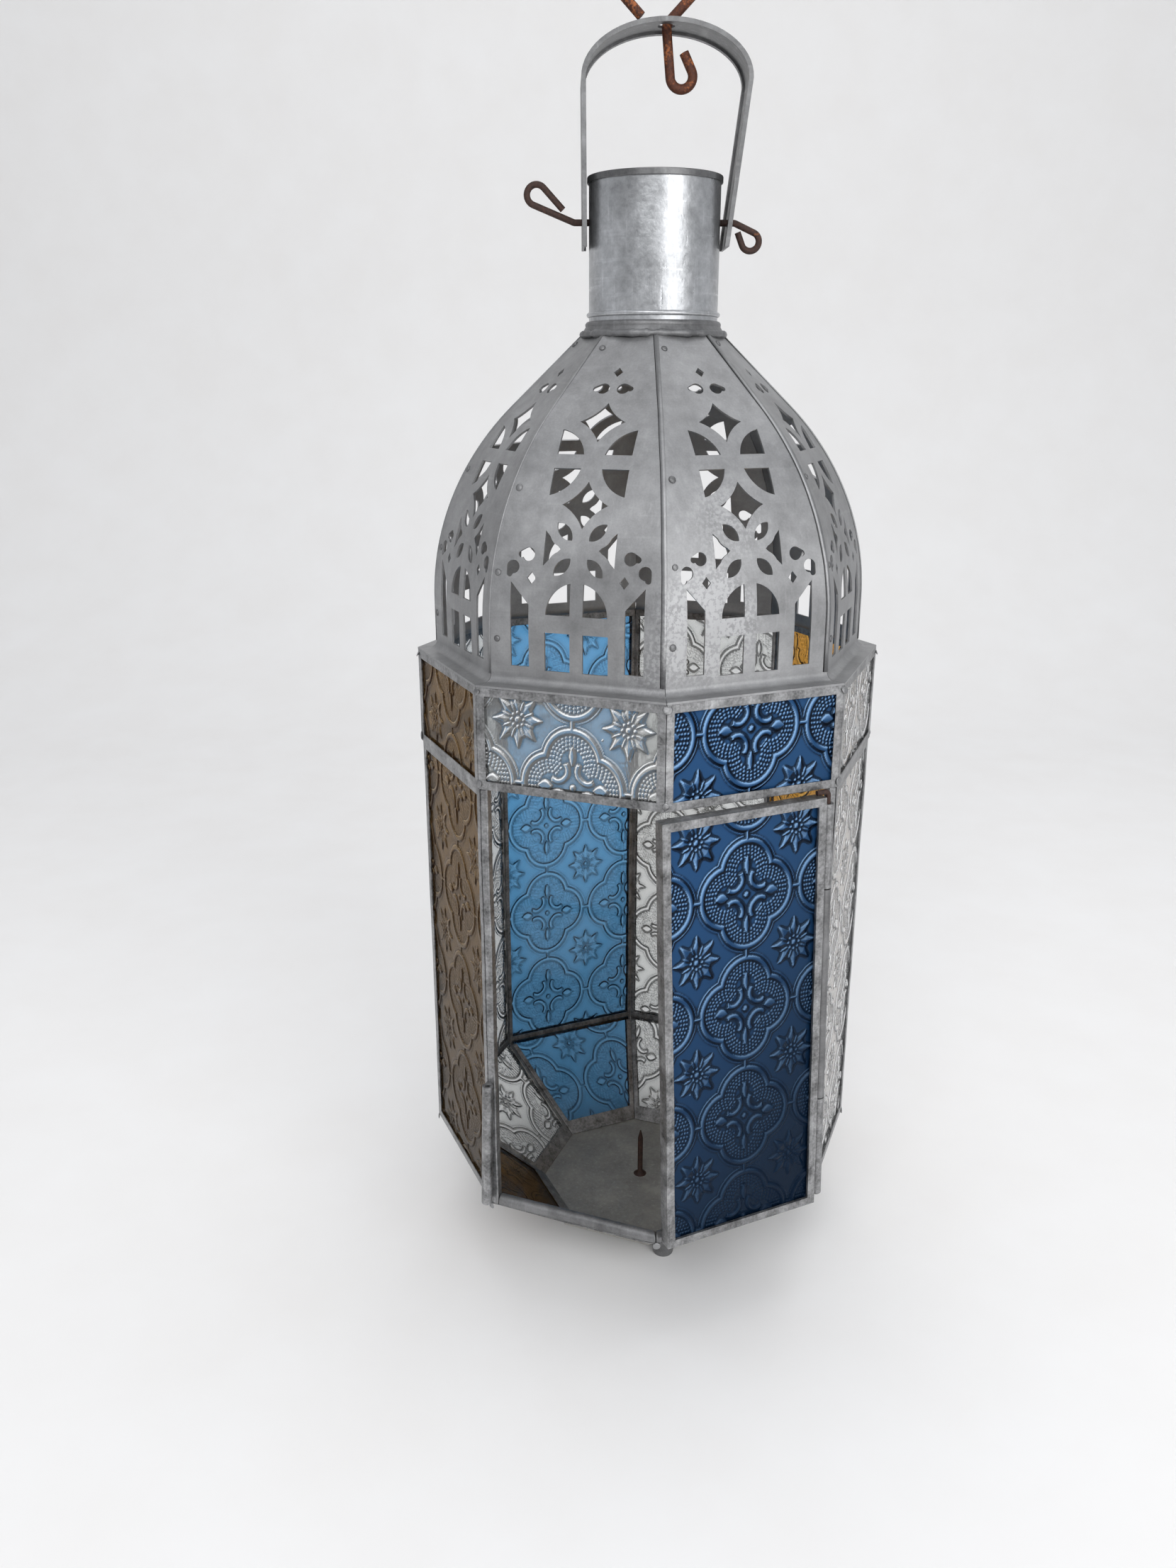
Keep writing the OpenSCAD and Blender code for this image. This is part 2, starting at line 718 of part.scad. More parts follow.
module neck_collar() {
    inner = neck_r + cap_gap;
    rim_z = collar_low_z + collar_h;
    color(dull_tin) difference() {
        rotate_extrude() {
            polygon([
                [inner, rim_z - dome_t], [collar_r - dome_t, collar_low_z],
                [collar_r, collar_low_z], [inner + dome_t, rim_z], [inner, rim_z]
            ]);
            translate([inner, rim_z]) circle(collar_roll_r);
        }
        translate([0, 0, z_neck]) cylinder(h = neck_h, r = inner);
    }
}

module neck_cap() {
    inner = neck_r + cap_gap;
    color(tin) difference() {
        translate([0, 0, z_cap - cap_skirt_h]) cylinder(h = cap_skirt_h + cap_t, r = inner + cap_t);
        translate([0, 0, z_cap - cap_skirt_h - over]) cylinder(h = cap_skirt_h + over, r = inner);
    }
}

// Bail handle, measured from its pivot

// Line of the strap from foot to foot, set out by grow from its inner side.
function strap_line(grow) = concat(
    [[-bail_foot - grow, -strap_tail]],
    [for (i = [0:arch_steps]) let (a = 180 - 180 * i / arch_steps)
        [arch_x + (arch_half + grow) * cos(a), shoulder_h + (arch_rise + grow) * sin(a)]],
    [[bail_foot + grow, -strap_tail]]
);

function reversed(points) = [for (i = [len(points) - 1:-1:0]) points[i]];

module strap_sheet(inner, outer, w) {
    rotate([90, 0, 0]) translate([0, 0, -w / 2]) linear_extrude(w)
        polygon(concat(strap_line(outer), reversed(strap_line(inner))));
}

module bail_strap() {
    color(tin) translate([0, 0, z_pivot]) difference() {
        union() {
            strap_sheet(0, strap_t, strap_w);
            for (j = [-1, 1]) translate([0, j * (strap_w - hem_w) / 2, 0]) strap_sheet(-hem_t, strap_t, hem_w);
        }
        translate([-2 * bail_foot, 0, 0]) rotate([0, 90, 0]) cylinder(h = 4 * bail_foot, r = bail_bore_r);
        translate([arch_x, 0, shoulder_h]) cylinder(h = 2 * arch_rise, r = hook_hole_r);
    }
}

// Wire bent in the XZ plane. A path is a list of points [x, z].

function unit(v) = v / norm(v);

function direction(angle) = [cos(angle), sin(angle)];

function all_but_last(list) = [for (i = [0:1:len(list) - 2]) list[i]];

// Points round an arc, both ends included.
function arc_points(centre, bend_r, a0, sweep) =
    let (steps = ceil(abs(sweep) / wire_step))
    [for (i = [0:steps]) centre + bend_r * direction(a0 + sweep * i / steps)];

// Points round the bend that replaces corner c between p and q.
function bend_points(p, c, q, bend_r) =
    let (u = unit(c - p), w = unit(q - c), turn = atan2(u.x * w.y - u.y * w.x, u * w))
    let (inward = sign(turn) * [-u.y, u.x], start = c - bend_r * tan(abs(turn) / 2) * u)
    arc_points(start + bend_r * inward, bend_r, atan2(-inward.y, -inward.x), turn);

// The path with each inner corner replaced by a bend.
function rounded(path, bend_r) = [
    for (i = [0:len(path) - 1])
        each (i == 0 || i == len(path) - 1 ? [path[i]]
            : bend_points(path[i - 1], path[i], path[i + 1], bend_r))
];

// A ring of points round place i of the path.
function wire_ring(path, i, r) =
    let (t = unit(path[min(i + 1, len(path) - 1)] - path[max(i - 1, 0)]))
    [for (j = [0:wire_sides - 1]) let (a = 360 * j / wire_sides)
        [path[i].x - r * cos(a) * t.y, r * sin(a), path[i].y + r * cos(a) * t.x]];

module wire(path, r) {
    last = (len(path) - 1) * wire_sides;
    side = [for (i = [0:len(path) - 2], j = [0:wire_sides - 1])
        let (a = i * wire_sides + j, b = i * wire_sides + (j + 1) % wire_sides)
        [a, b, b + wire_sides, a + wire_sides]];
    polyhedron(
        points = [for (i = [0:len(path) - 1]) each wire_ring(path, i, r)],
        faces = concat(side, [[for (j = [wire_sides - 1:-1:0]) j]], [[for (j = [0:wire_sides - 1]) last + j]])
    );
}

// A wire pin towards +X: a clinched tail in the neck, a shank and a drop-shaped eye,
// whose loose end stops beside its other leg.
module bail_pin(angle, reach, eye_r) {
    tail_x = neck_r - neck_t - pin_tail_in;
    root = [eye_root, 0];
    side = -sign(angle);
    flare = asin(eye_r / reach);
    leg_l = sqrt(reach * reach - eye_r * eye_r);
    end_l = (bail_pin_r + eye_gap / 2) / sin(flare);
    shank = [[tail_x, -pin_tail_l], [tail_x, 0], root, root + leg_l * direction(angle + side * flare)];
    eye = arc_points(root + reach * direction(angle), eye_r,
        angle + side * (flare + 90), -side * (180 + 2 * flare));
    loose_end = root + end_l * direction(angle - side * flare);
    wire(concat(all_but_last(rounded(shank, wire_bend * bail_pin_r)), eye, [loose_end]), bail_pin_r);
}

module bail_pin_left() color(rust) translate([0, 0, z_pivot]) mirror([1, 0, 0])
    bail_pin(eye_left_angle, eye_left_reach, eye_left_r);

module bail_pin_right() color(rust) translate([0, 0, z_pivot])
    bail_pin(eye_right_angle, eye_right_reach, eye_right_r);

// One wire: a loose end over the strap, the hanging loop, the shank through the strap and a curl.
module hanging_hook() {
    elbow = [arch_x, z_apex - strap_t / 2];
    loop_x = arch_x - loop_offset;
    fork_z = elbow.y - loop_offset / tan(leg_lean);
    loop = [loop_x, fork_z + loop_r / sin(leg_lean)];
    tangent = loop_r * direction(-leg_lean);
    end_z = z_apex + leg_end_gap + hook_wire_r;
    end = [loop_x - (end_z - fork_z) * tan(leg_lean), end_z];
    foot = elbow + shank_l * direction(shank_lean - 90);
    curl = foot + curl_r * direction(shank_lean);
    curl_path = arc_points(curl, curl_r, 180 + shank_lean, curl_sweep);
    tip = curl_path[len(curl_path) - 1] + curl_end_l * direction(270 + shank_lean + curl_sweep);
    loop_path = arc_points(loop, loop_r, 180 + leg_lean, -180 - 2 * leg_lean);
    bend = rounded([loop + tangent, elbow, foot], wire_bend * hook_wire_r);
    elbow_path = [for (i = [1:len(bend) - 2]) bend[i]];
    color(rust) wire(concat([end], loop_path, elbow_path, curl_path, [tip]), hook_wire_r);
}

// Draw one piece, or all of them

floor_plate();
feet();
candle_spike();
lower_frame();
lower_pane(1);  // lower_pane_1
lower_pane(2);  // lower_pane_2
lower_pane(3);  // lower_pane_3
lower_pane(4);  // lower_pane_4
lower_pane(5);  // lower_pane_5
lower_pane(6);  // lower_pane_6
lower_pane(7);  // lower_pane_7
lower_pane(8);  // lower_pane_8
door_sill();
door_posts();
post_sleeve();
left_sleeve();
hinge_pin();
door_frame();
door_pane();
door_sleeves();
color(tin) face_frame(3, body_a, z_sill, z_band);  // side_frame_3
color(tin) face_frame(4, body_a, z_sill, z_band);  // side_frame_4
color(tin) face_frame(5, body_a, z_sill, z_band);  // side_frame_5
color(tin) face_frame(6, body_a, z_sill, z_band);  // side_frame_6
color(tin) face_frame(7, body_a, z_sill, z_band);  // side_frame_7
color(tin) face_frame(8, body_a, z_sill, z_band);  // side_frame_8
face_pane(3, body_a, z_sill, z_band);  // side_pane_3
face_pane(4, body_a, z_sill, z_band);  // side_pane_4
face_pane(5, body_a, z_sill, z_band);  // side_pane_5
face_pane(6, body_a, z_sill, z_band);  // side_pane_6
face_pane(7, body_a, z_sill, z_band);  // side_pane_7
face_pane(8, body_a, z_sill, z_band);  // side_pane_8
band_frame();
face_pane(1, band_a, z_band, z_dome);  // band_pane_1
face_pane(2, band_a, z_band, z_dome);  // band_pane_2
face_pane(3, band_a, z_band, z_dome);  // band_pane_3
face_pane(4, band_a, z_band, z_dome);  // band_pane_4
face_pane(5, band_a, z_band, z_dome);  // band_pane_5
face_pane(6, band_a, z_band, z_dome);  // band_pane_6
face_pane(7, band_a, z_band, z_dome);  // band_pane_7
face_pane(8, band_a, z_band, z_dome);  // band_pane_8
dome_gore(1);  // dome_gore_1
dome_gore(2);  // dome_gore_2
dome_gore(3);  // dome_gore_3
dome_gore(4);  // dome_gore_4
dome_gore(5);  // dome_gore_5
dome_gore(6);  // dome_gore_6
dome_gore(7);  // dome_gore_7
dome_gore(8);  // dome_gore_8
neck_tube();
neck_collar();
neck_cap();
bail_strap();
bail_pin_left();
bail_pin_right();
hanging_hook();
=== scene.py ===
# %% [markdown]
# # An octagonal candle lantern of tinned sheet and embossed glass
#
# The lantern stands on four small feet. Panes of clear, blue and amber glass are held in folded strips
# of tinned sheet, called cames, which are soldered together at the corners of an octagon. Above the
# panes come a pierced dome, a round neck, a strap handle and a rusty wire hook. The shapes of the metal
# come from the CAD model. This script gives them worked metal edges, builds the relief of the glass,
# adds nails and solder, and then paints, lights and frames the whole.

import json
import math

import bmesh
import bpy
import numpy as np
from mathutils import Matrix, Vector, noise

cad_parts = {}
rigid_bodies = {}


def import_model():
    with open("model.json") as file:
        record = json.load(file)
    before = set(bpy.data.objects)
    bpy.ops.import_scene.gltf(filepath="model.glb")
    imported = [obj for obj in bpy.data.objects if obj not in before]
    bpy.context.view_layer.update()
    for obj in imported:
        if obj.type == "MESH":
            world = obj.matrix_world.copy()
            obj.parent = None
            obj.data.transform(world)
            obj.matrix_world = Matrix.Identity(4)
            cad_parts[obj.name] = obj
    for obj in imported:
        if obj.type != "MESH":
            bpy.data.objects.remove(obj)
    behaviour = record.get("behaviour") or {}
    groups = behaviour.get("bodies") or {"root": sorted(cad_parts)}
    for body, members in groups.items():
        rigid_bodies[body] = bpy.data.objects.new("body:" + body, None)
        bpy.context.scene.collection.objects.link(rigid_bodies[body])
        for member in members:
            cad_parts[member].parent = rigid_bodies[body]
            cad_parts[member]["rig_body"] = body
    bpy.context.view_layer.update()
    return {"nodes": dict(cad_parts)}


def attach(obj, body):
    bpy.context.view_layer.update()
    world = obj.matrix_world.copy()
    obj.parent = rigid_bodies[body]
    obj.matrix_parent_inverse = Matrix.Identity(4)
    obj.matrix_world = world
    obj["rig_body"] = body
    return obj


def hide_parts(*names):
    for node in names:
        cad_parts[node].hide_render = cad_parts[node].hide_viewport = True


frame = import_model()
nodes = frame["nodes"]
MM = 0.001

# %% [markdown]
# ## The camera
#
# The photograph was taken from a little above, with the short lens of a phone, from a point close to
# the lantern. The position and lens were solved from the corners of the octagon, so the camera is
# placed by numbers and not aimed at the object.

# %% Camera
CAMERA_PLACE = (-0.03616, -0.50623, 0.37152)
CAMERA_TILT = 71.88
CAMERA_TURN = -1.28
LENS = 28.53
SENSOR = 36.0

camera_data = bpy.data.cameras.new("camera")
camera = bpy.data.objects.new("camera", camera_data)
bpy.context.scene.collection.objects.link(camera)
camera.location = CAMERA_PLACE
camera.rotation_euler = (math.radians(CAMERA_TILT), 0, math.radians(CAMERA_TURN))
camera_data.lens = LENS
camera_data.sensor_width = SENSOR
camera_data.clip_start = 0.01
bpy.context.scene.camera = camera
bpy.context.scene.view_settings.view_transform = "Standard"
print("camera at", CAMERA_PLACE)

# %% [markdown]
# ## Floor, backdrop and light
#
# A single pale sheet runs from under the lantern up behind it in one curve, so no edge shows. Glass and
# metal show mostly what is around them, so the light is soft and wide: a tall lamp in front on the right,
# which puts the bright band on the neck, a wide one high in front, which draws the relief of the glass, and
# one overhead.

# %% Backdrop
FLOOR_FRONT, FLOOR_BACK, SWEEP_R, WALL_TOP, SHEET_HALF = -2.2, 0.75, 0.5, 2.6, 2.6
sweep = [(FLOOR_FRONT, 0.0), (FLOOR_BACK, 0.0)]
for step in range(1, 17):
    turn = math.radians(90 * step / 16)
    sweep.append((FLOOR_BACK + SWEEP_R * math.sin(turn), SWEEP_R * (1 - math.cos(turn))))
sweep.append((FLOOR_BACK + SWEEP_R, WALL_TOP))
backdrop_mesh = bpy.data.meshes.new("backdrop")
backdrop_mesh.from_pydata(
    [(x, y, z) for y, z in sweep for x in (-SHEET_HALF, SHEET_HALF)],
    [],
    [(2 * i, 2 * i + 1, 2 * i + 3, 2 * i + 2) for i in range(len(sweep) - 1)],
)
for polygon in backdrop_mesh.polygons:
    polygon.use_smooth = True
backdrop = bpy.data.objects.new("backdrop", backdrop_mesh)
bpy.context.scene.collection.objects.link(backdrop)
print("backdrop points", len(sweep))


# %% Lamps
def soft_lamp(name, place, aim, wide, tall, power):
    """A rectangular area lamp that faces a point."""
    data = bpy.data.lights.new(name, "AREA")
    data.shape = "RECTANGLE"
    data.size, data.size_y = wide, tall
    data.energy = power
    lamp = bpy.data.objects.new(name, data)
    lamp.location = place
    lamp.rotation_euler = (Vector(aim) - Vector(place)).to_track_quat("-Z", "Y").to_euler()
    bpy.context.scene.collection.objects.link(lamp)
    return lamp


AIM = (0, 0, 0.3)
soft_lamp("window", (0.66, -1.15, 0.6), AIM, 0.85, 1.0, 9.0)
soft_lamp("front", (-0.3, -1.3, 1.2), AIM, 0.9, 0.6, 9.0)
soft_lamp("top", (0.1, 0.35, 1.6), AIM, 1.4, 1.2, 6.0)

# %% [markdown]
# The world is dimmer in front of the lantern, where a room would be, than overhead and behind. Without
# that difference, glass in an all-white world has no dark lines and looks flat.

# %% World
world = bpy.data.worlds.new("studio")
bpy.context.scene.world = world
world.use_nodes = True
sky = world.node_tree
turned = sky.nodes.new("ShaderNodeSeparateXYZ")
sky.links.new(sky.nodes.new("ShaderNodeTexCoord").outputs["Generated"], turned.inputs[0])
ROOM_DIM, ROOM_LIGHT = 0.36, 0.64


def sky_shade(socket, low, high, first, last):
    """A brightness that follows one direction of the world."""
    shade = sky.nodes.new("ShaderNodeMapRange")
    shade.interpolation_type = "SMOOTHSTEP"
    for name, value in zip(("From Min", "From Max", "To Min", "To Max"), (low, high, first, last)):
        shade.inputs[name].default_value = value
    sky.links.new(socket, shade.inputs["Value"])
    return shade.outputs[0]


larger = sky.nodes.new("ShaderNodeMath")
larger.operation = "MAXIMUM"
sky.links.new(sky_shade(turned.outputs["Y"], -0.6, 0.2, ROOM_DIM, ROOM_LIGHT), larger.inputs[0])
sky.links.new(sky_shade(turned.outputs["Z"], 0.0, 0.8, ROOM_DIM, ROOM_LIGHT), larger.inputs[1])
background = sky.nodes["Background"]
background.inputs["Color"].default_value = (0.94, 0.96, 1.0, 1)
sky.links.new(larger.outputs[0], background.inputs["Strength"])
print("world from", ROOM_DIM, "to", ROOM_LIGHT)

# %% [markdown]
# ## Shader sums in Python
#
# A material's patterns are sums of noises and masks. Built by hand, each sum is a chain of Math nodes.
# Here one small class wraps a socket and overloads the operators, so that a mask can be written as an
# expression and the nodes are added behind it.


# %% A socket that can be added and multiplied
class Wire:
    """One output socket of a material, for use in expressions."""

    def __init__(self, tree, socket):
        self.tree = tree
        self.socket = socket

    def node(self, kind, settings=None, inputs=None, out=0):
        """Adds a node, sets its settings, then its sockets from values or wires."""
        made = self.tree.nodes.new(kind)
        for name, value in (settings or {}).items():
            if name == "stops":
                set_stops(made.color_ramp, value)
            else:
                setattr(made, name, value)
        for name, value in (inputs or {}).items():
            if isinstance(value, Wire):
                self.tree.links.new(value.socket, made.inputs[name])
            else:
                made.inputs[name].default_value = value
        return Wire(self.tree, made.outputs[out])

    def math(self, operation, first, second=0.0, clamp=False):
        settings = {"operation": operation, "use_clamp": clamp}
        return self.node("ShaderNodeMath", settings, {0: first, 1: second})

    def __add__(self, other):
        return self.math("ADD", self, other)

    def __sub__(self, other):
        return self.math("SUBTRACT", self, other)

    def __rsub__(self, other):
        return self.math("SUBTRACT", other, self)

    def __mul__(self, other):
        return self.math("MULTIPLY", self, other)

    def __pow__(self, other):
        return self.math("POWER", self, other)

    def __truediv__(self, other):
        return self.math("DIVIDE", self, other)

    __radd__ = __add__
    __rmul__ = __mul__

    def above(self, low, high):
        """0 below low, 1 above high, and smooth between."""
        return self.node(
            "ShaderNodeMapRange",
            {"interpolation_type": "SMOOTHSTEP"},
            {"Value": self, "From Min": low, "From Max": high},
        )

    def colours(self, *stops):
        """This value turned into a colour, by stops of place and colour."""
        return self.node("ShaderNodeValToRGB", {"stops": stops}, {"Fac": self})

    def blend(self, first, second):
        """first where this value is 0, second where it is 1."""
        return self.node("ShaderNodeMix", {"data_type": "RGBA"}, {0: self, 6: first, 7: second}, out=2)


def set_stops(ramp, stops):
    """Gives a colour ramp these stops of place and grey or colour."""
    while len(ramp.elements) < len(stops):
        ramp.elements.new(0.5)
    for element, (place, colour) in zip(ramp.elements, stops):
        element.position = place
        element.color = rgb(colour)


def rgb(colour):
    """A grey number or three numbers as a colour with alpha."""
    return (colour,) * 3 + (1,) if isinstance(colour, (int, float)) else tuple(colour) + (1,)


print("a wire's own methods:", [name for name in vars(Wire) if name[0] != "_"])

# %% [markdown]
# A finish starts from the piece's own coordinates, in metres, so its grain has a real size and doesn't
# slide when the piece moves. Noise gives clouds and speckles; stretched noise gives scratches.


# %% A finish and its patterns
class Finish:
    """A material being built: where the surface is, its patterns, and what it feeds the shader."""

    def __init__(self, name, **constants):
        self.material = bpy.data.materials.new(name)
        self.material.use_nodes = True
        tree = self.material.node_tree
        self.shader = tree.nodes["Principled BSDF"]
        for socket, value in constants.items():
            self.shader.inputs[socket.replace("_", " ")].default_value = value
        self.tree = tree
        self.place = Wire(tree, tree.nodes.new("ShaderNodeTexCoord").outputs["Object"])

    def clouds(self, size, detail=3.0, stretch=(1, 1, 1), shift=0.0, roughness=0.55):
        """Noise from 0 to 1 whose blotches are about size millimetres across."""
        placed = self.place.node(
            "ShaderNodeMapping",
            inputs={"Vector": self.place, "Scale": stretch, "Location": (shift, shift, shift)},
        )
        return self.place.node(
            "ShaderNodeTexNoise",
            inputs={"Vector": placed, "Scale": 1 / (size * MM), "Detail": detail, "Roughness": roughness},
        )

    def attribute(self, name):
        """A number that the mesh itself carries for each point."""
        return self.place.node("ShaderNodeAttribute", {"attribute_name": name}, out=2)

    def along(self, way, low, high):
        """0 at one distance along a way and 1 at another, both in millimetres."""
        settings = {"operation": "DOT_PRODUCT"}
        gone = self.place.node("ShaderNodeVectorMath", settings, {0: self.place, 1: way}, out=1)
        return gone.above(low * MM, high * MM)

    def near(self, point, reach):
        """1 at a point, given in millimetres, falling to 0 at reach from it."""
        centre = tuple(c * MM for c in point)
        away = self.place.node(
            "ShaderNodeVectorMath", {"operation": "DISTANCE"}, {0: self.place, 1: centre}, out=1
        )
        return 1 - away.above(0.0, reach * MM)

    def feed(self, **sockets):
        """Links patterns to the shader's sockets."""
        for name, value in sockets.items():
            self.tree.links.new(value.socket, self.shader.inputs[name.replace("_", " ")])
        return self

    def cover(self, amount, colour, roughness, gloss):
        """Lays a second, opaque finish over the first, by an amount from 0 to 1."""
        film = self.tree.nodes.new("ShaderNodeBsdfPrincipled")
        film.inputs["Roughness"].default_value = roughness
        film.inputs["Specular IOR Level"].default_value = gloss
        mixed = self.tree.nodes.new("ShaderNodeMixShader")
        surface = self.tree.nodes["Material Output"].inputs["Surface"]
        self.tree.links.new(colour.socket, film.inputs["Base Color"])
        self.tree.links.new(amount.socket, mixed.inputs[0])
        self.tree.links.new(self.shader.outputs[0], mixed.inputs[1])
        self.tree.links.new(film.outputs[0], mixed.inputs[2])
        self.tree.links.new(mixed.outputs[0], surface)

    def bump(self, height, depth, strength=1.0):
        """Raises the surface by a pattern, at most depth millimetres."""
        bumped = self.place.node(
            "ShaderNodeBump", inputs={"Height": height, "Distance": depth * MM, "Strength": strength}
        )
        return self.feed(Normal=bumped)


print("shader helpers ready")

# %% [markdown]
# ## Tinned sheet
#
# The whole body is thin sheet with a dull tin coat. Years of handling have left it mottled: darker where
# flux and soot stained it, paler where it is rubbed, with fine scratches both ways. One recipe makes every
# metal finish, and each place on the lantern differs only in how bright, rough and scratched it is.


# %% Metal finishes
def tinned(name, dark, pale, rough, scratch=0.5, cloud=22, cast=(1.0, 1.005, 1.02), metallic=0.82, spots=()):
    """Tinned sheet between two greys, with clouds, stains and scratches."""
    finish = Finish(name, Metallic=metallic, Specular_IOR_Level=0.5)
    broad = finish.clouds(cloud, detail=4)
    fine = finish.clouds(cloud / 6, detail=3, shift=3.1)
    speck = finish.clouds(0.7, detail=2, shift=7.7)
    lines = finish.clouds(1.6, detail=2, stretch=(1, 1, 0.07), shift=1.3).above(0.55, 0.75)
    cross = finish.clouds(2.0, detail=2, stretch=(0.08, 0.08, 1), shift=5.2).above(0.58, 0.78)
    worn = (lines + cross) * scratch
    tone = broad * 0.55 + fine * 0.3 + speck * 0.15
    for point, reach, lift in spots:
        rubbed = finish.near(point, reach) * finish.clouds(1.3, detail=4, shift=9.0).above(0.42, 0.6)
        tone = tone + rubbed * lift
    tone = tone + worn * 0.12
    ramp = tone.colours(
        (0.3, [dark * c for c in cast]),
        (0.52, [(dark + pale) / 2 * c for c in cast]),
        (0.72, [pale * c for c in cast]),
    )
    grain = rough + (broad * 0.22 - 0.11) + (fine * 0.1 - 0.05) - worn * 0.1
    finish.feed(Base_Color=ramp, Roughness=grain)
    finish.bump(fine * 0.6 + broad * 1.2 + speck * 0.08 - worn * 0.1, 0.5, 0.35)
    return finish.material


came_tin = tinned("came_tin", 0.02, 0.48, 0.42, scratch=0.5, cloud=7)
DOME_RUBBED = [((14, -78, 290), 27, 0.65), ((22, -70, 325), 22, 0.2), ((-4, -80, 275), 16, 0.25)]
dome_sheet = tinned("dome_sheet", 0.2, 0.42, 0.5, scratch=0.35, cloud=30, spots=DOME_RUBBED)
dull_tin = tinned("dull_tin", 0.08, 0.3, 0.52)
floor_tin = tinned("floor_tin", 0.2, 0.4, 0.55, scratch=1.2, cloud=12, cast=(1.03, 1.0, 0.93), metallic=0.35)
neck_sheet = tinned("neck_sheet", 0.26, 0.62, 0.36, scratch=0.9, cloud=14, cast=(0.98, 1.0, 1.03))
strap_sheet = tinned("strap_sheet", 0.07, 0.24, 0.42, scratch=0.8)
solder = tinned("solder", 0.13, 0.42, 0.48, cloud=5)
# A dark tin for the strip that paints the line of shadow beside each lap of the dome.
seam_painted_shadow = tinned("seam_painted_shadow", 0.03, 0.12, 0.6, cloud=8)
print("metal finishes", len(bpy.data.materials))


# %% [markdown]
# The hook, the pins and the spike are plain iron wire. It has rusted to a dark brown skin with orange
# bloom in patches, so it is no longer metallic: the colour does the work, over a pitted bump.


# %% Rusty wire
def rusted(name, dark, mid, bloom, bloom_from):
    """Rusty iron between a dark skin and an orange bloom."""
    finish = Finish(name, Metallic=0.25)
    broad = finish.clouds(7, detail=4)
    pits = finish.clouds(0.9, detail=4, shift=2.2)
    patch = (broad * 0.6 + pits * 0.4).above(bloom_from, bloom_from + 0.14)
    skin = pits.colours((0.3, dark), (0.7, mid))
    finish.feed(Base_Color=patch.blend(skin, rgb(bloom)), Roughness=0.5 + pits * 0.4)
    finish.bump(pits, 0.25, 0.6)
    return finish.material


hook_rust = rusted("hook_rust", (0.045, 0.014, 0.008), (0.13, 0.042, 0.02), (0.4, 0.13, 0.04), 0.5)
pin_rust = rusted("pin_rust", (0.022, 0.012, 0.01), (0.07, 0.035, 0.026), (0.2, 0.08, 0.035), 0.58)
print("rust finishes ready")


# %% [markdown]
# ## Embossed glass
#
# The glass was rolled on a patterned table, so its colour goes right through. It is a true glass shader:
# light bends in the relief. A thin, dull film lies over it, and it is thick on the slopes: a steep slope
# throws the light aside, so it looks dark or bright and never clear, and the film's colour paints that as
# light and shade. Each pane's mesh carries four numbers per point, worked out with its relief: how high it
# lies, how steep it is, how far it faces up and left, where the painted light comes from, and how deep in a
# groove it is. The shader reads them for the tint of the glass, with a painted highlight on the raised parts
# and grime with painted shade in the grooves, and for the weight of the film.


# %% Glass finishes
def scaled(colour, share, lift=0.0):
    """A darker or lighter version of a colour, for a shader socket."""
    return rgb([c * share + lift for c in colour])


def rolled_glass(
    name,
    deep,
    raised_highlight,
    film,
    amount,
    way=(0, 0, 1),
    reach=(40, 235),
    foot=1.0,
    gloss=0.3,
    shine=(1, 1, 1),
    ior=1.5,
):
    """Glass with a painted highlight on the raised parts, with dust, under a dull film of grime and painted
    light and shade.

    The mesh carries relief, slope, facing and grime. film holds three colours of painted light
    and shade: on slopes that face down and right, away from the painted light, on flats, and on slopes that
    face up and left, towards it. amount holds how dense the film is on flats and slopes. Towards the near end
    of reach, measured along way, tint and film are darkened as painted shade, down to the share called foot.
    shine tints what the glass itself reflects, and ior is how far it bends light.
    """
    constants = {"Transmission_Weight": 1.0, "IOR": ior, "Specular_IOR_Level": gloss}
    finish = Finish(name, Specular_Tint=rgb(shine), **constants)
    ripple = finish.clouds(1.4, detail=2, stretch=(1, 1, 0.2))
    dust = finish.clouds(9, detail=5, shift=4.0).above(0.5, 0.8)
    grime, slope, facing = (finish.attribute(label) for label in ("grime", "slope", "facing"))
    low = (1 - finish.along(way, *reach)) * (1 - foot)
    # The raised parts get a lighter tint: a painted highlight.
    tint = finish.attribute("relief").blend(rgb(deep), rgb(raised_highlight))
    # Darker towards the near end of reach: painted shade.
    tint = low.blend(tint, scaled(deep, 0.2))
    # Darker in the grooves: grime, and painted shade.
    tint = (grime * 0.6).blend(tint, scaled(deep, 0.1, 0.004))
    tint = (dust * 0.25).blend(tint, scaled(deep, 0.6))
    finish.feed(Base_Color=tint, Roughness=0.05 + dust * 0.08 + grime * 0.1)
    finish.bump(ripple, 0.1, 0.3)
    away, flat, lit = film
    # The film's colours are painted light and shade: dark on slopes that face down and right, light on slopes
    # that face up and left.
    shade = facing.colours((0.28, away), (0.5, flat), (0.9, lit))
    # Steep slopes that face away, and the grooves, take the darkest film colour: a painted shade outline.
    painted_shade_slopes = slope.above(0.15, 0.8) * (1 - facing.above(0.5, 0.75)) * 0.85
    outline = painted_shade_slopes.math("MAXIMUM", painted_shade_slopes, grime.above(0.08, 0.5) * 0.85)
    # The film is also darker towards the near end of reach: painted shade.
    shade = low.blend(outline.blend(shade, rgb(away)), scaled(flat, 0.12))
    on_flats, on_slopes = amount
    finish.cover(slope.above(0.0, 0.6) * (on_slopes - on_flats) + on_flats, shade, 0.35, gloss * 0.4)
    return finish.material
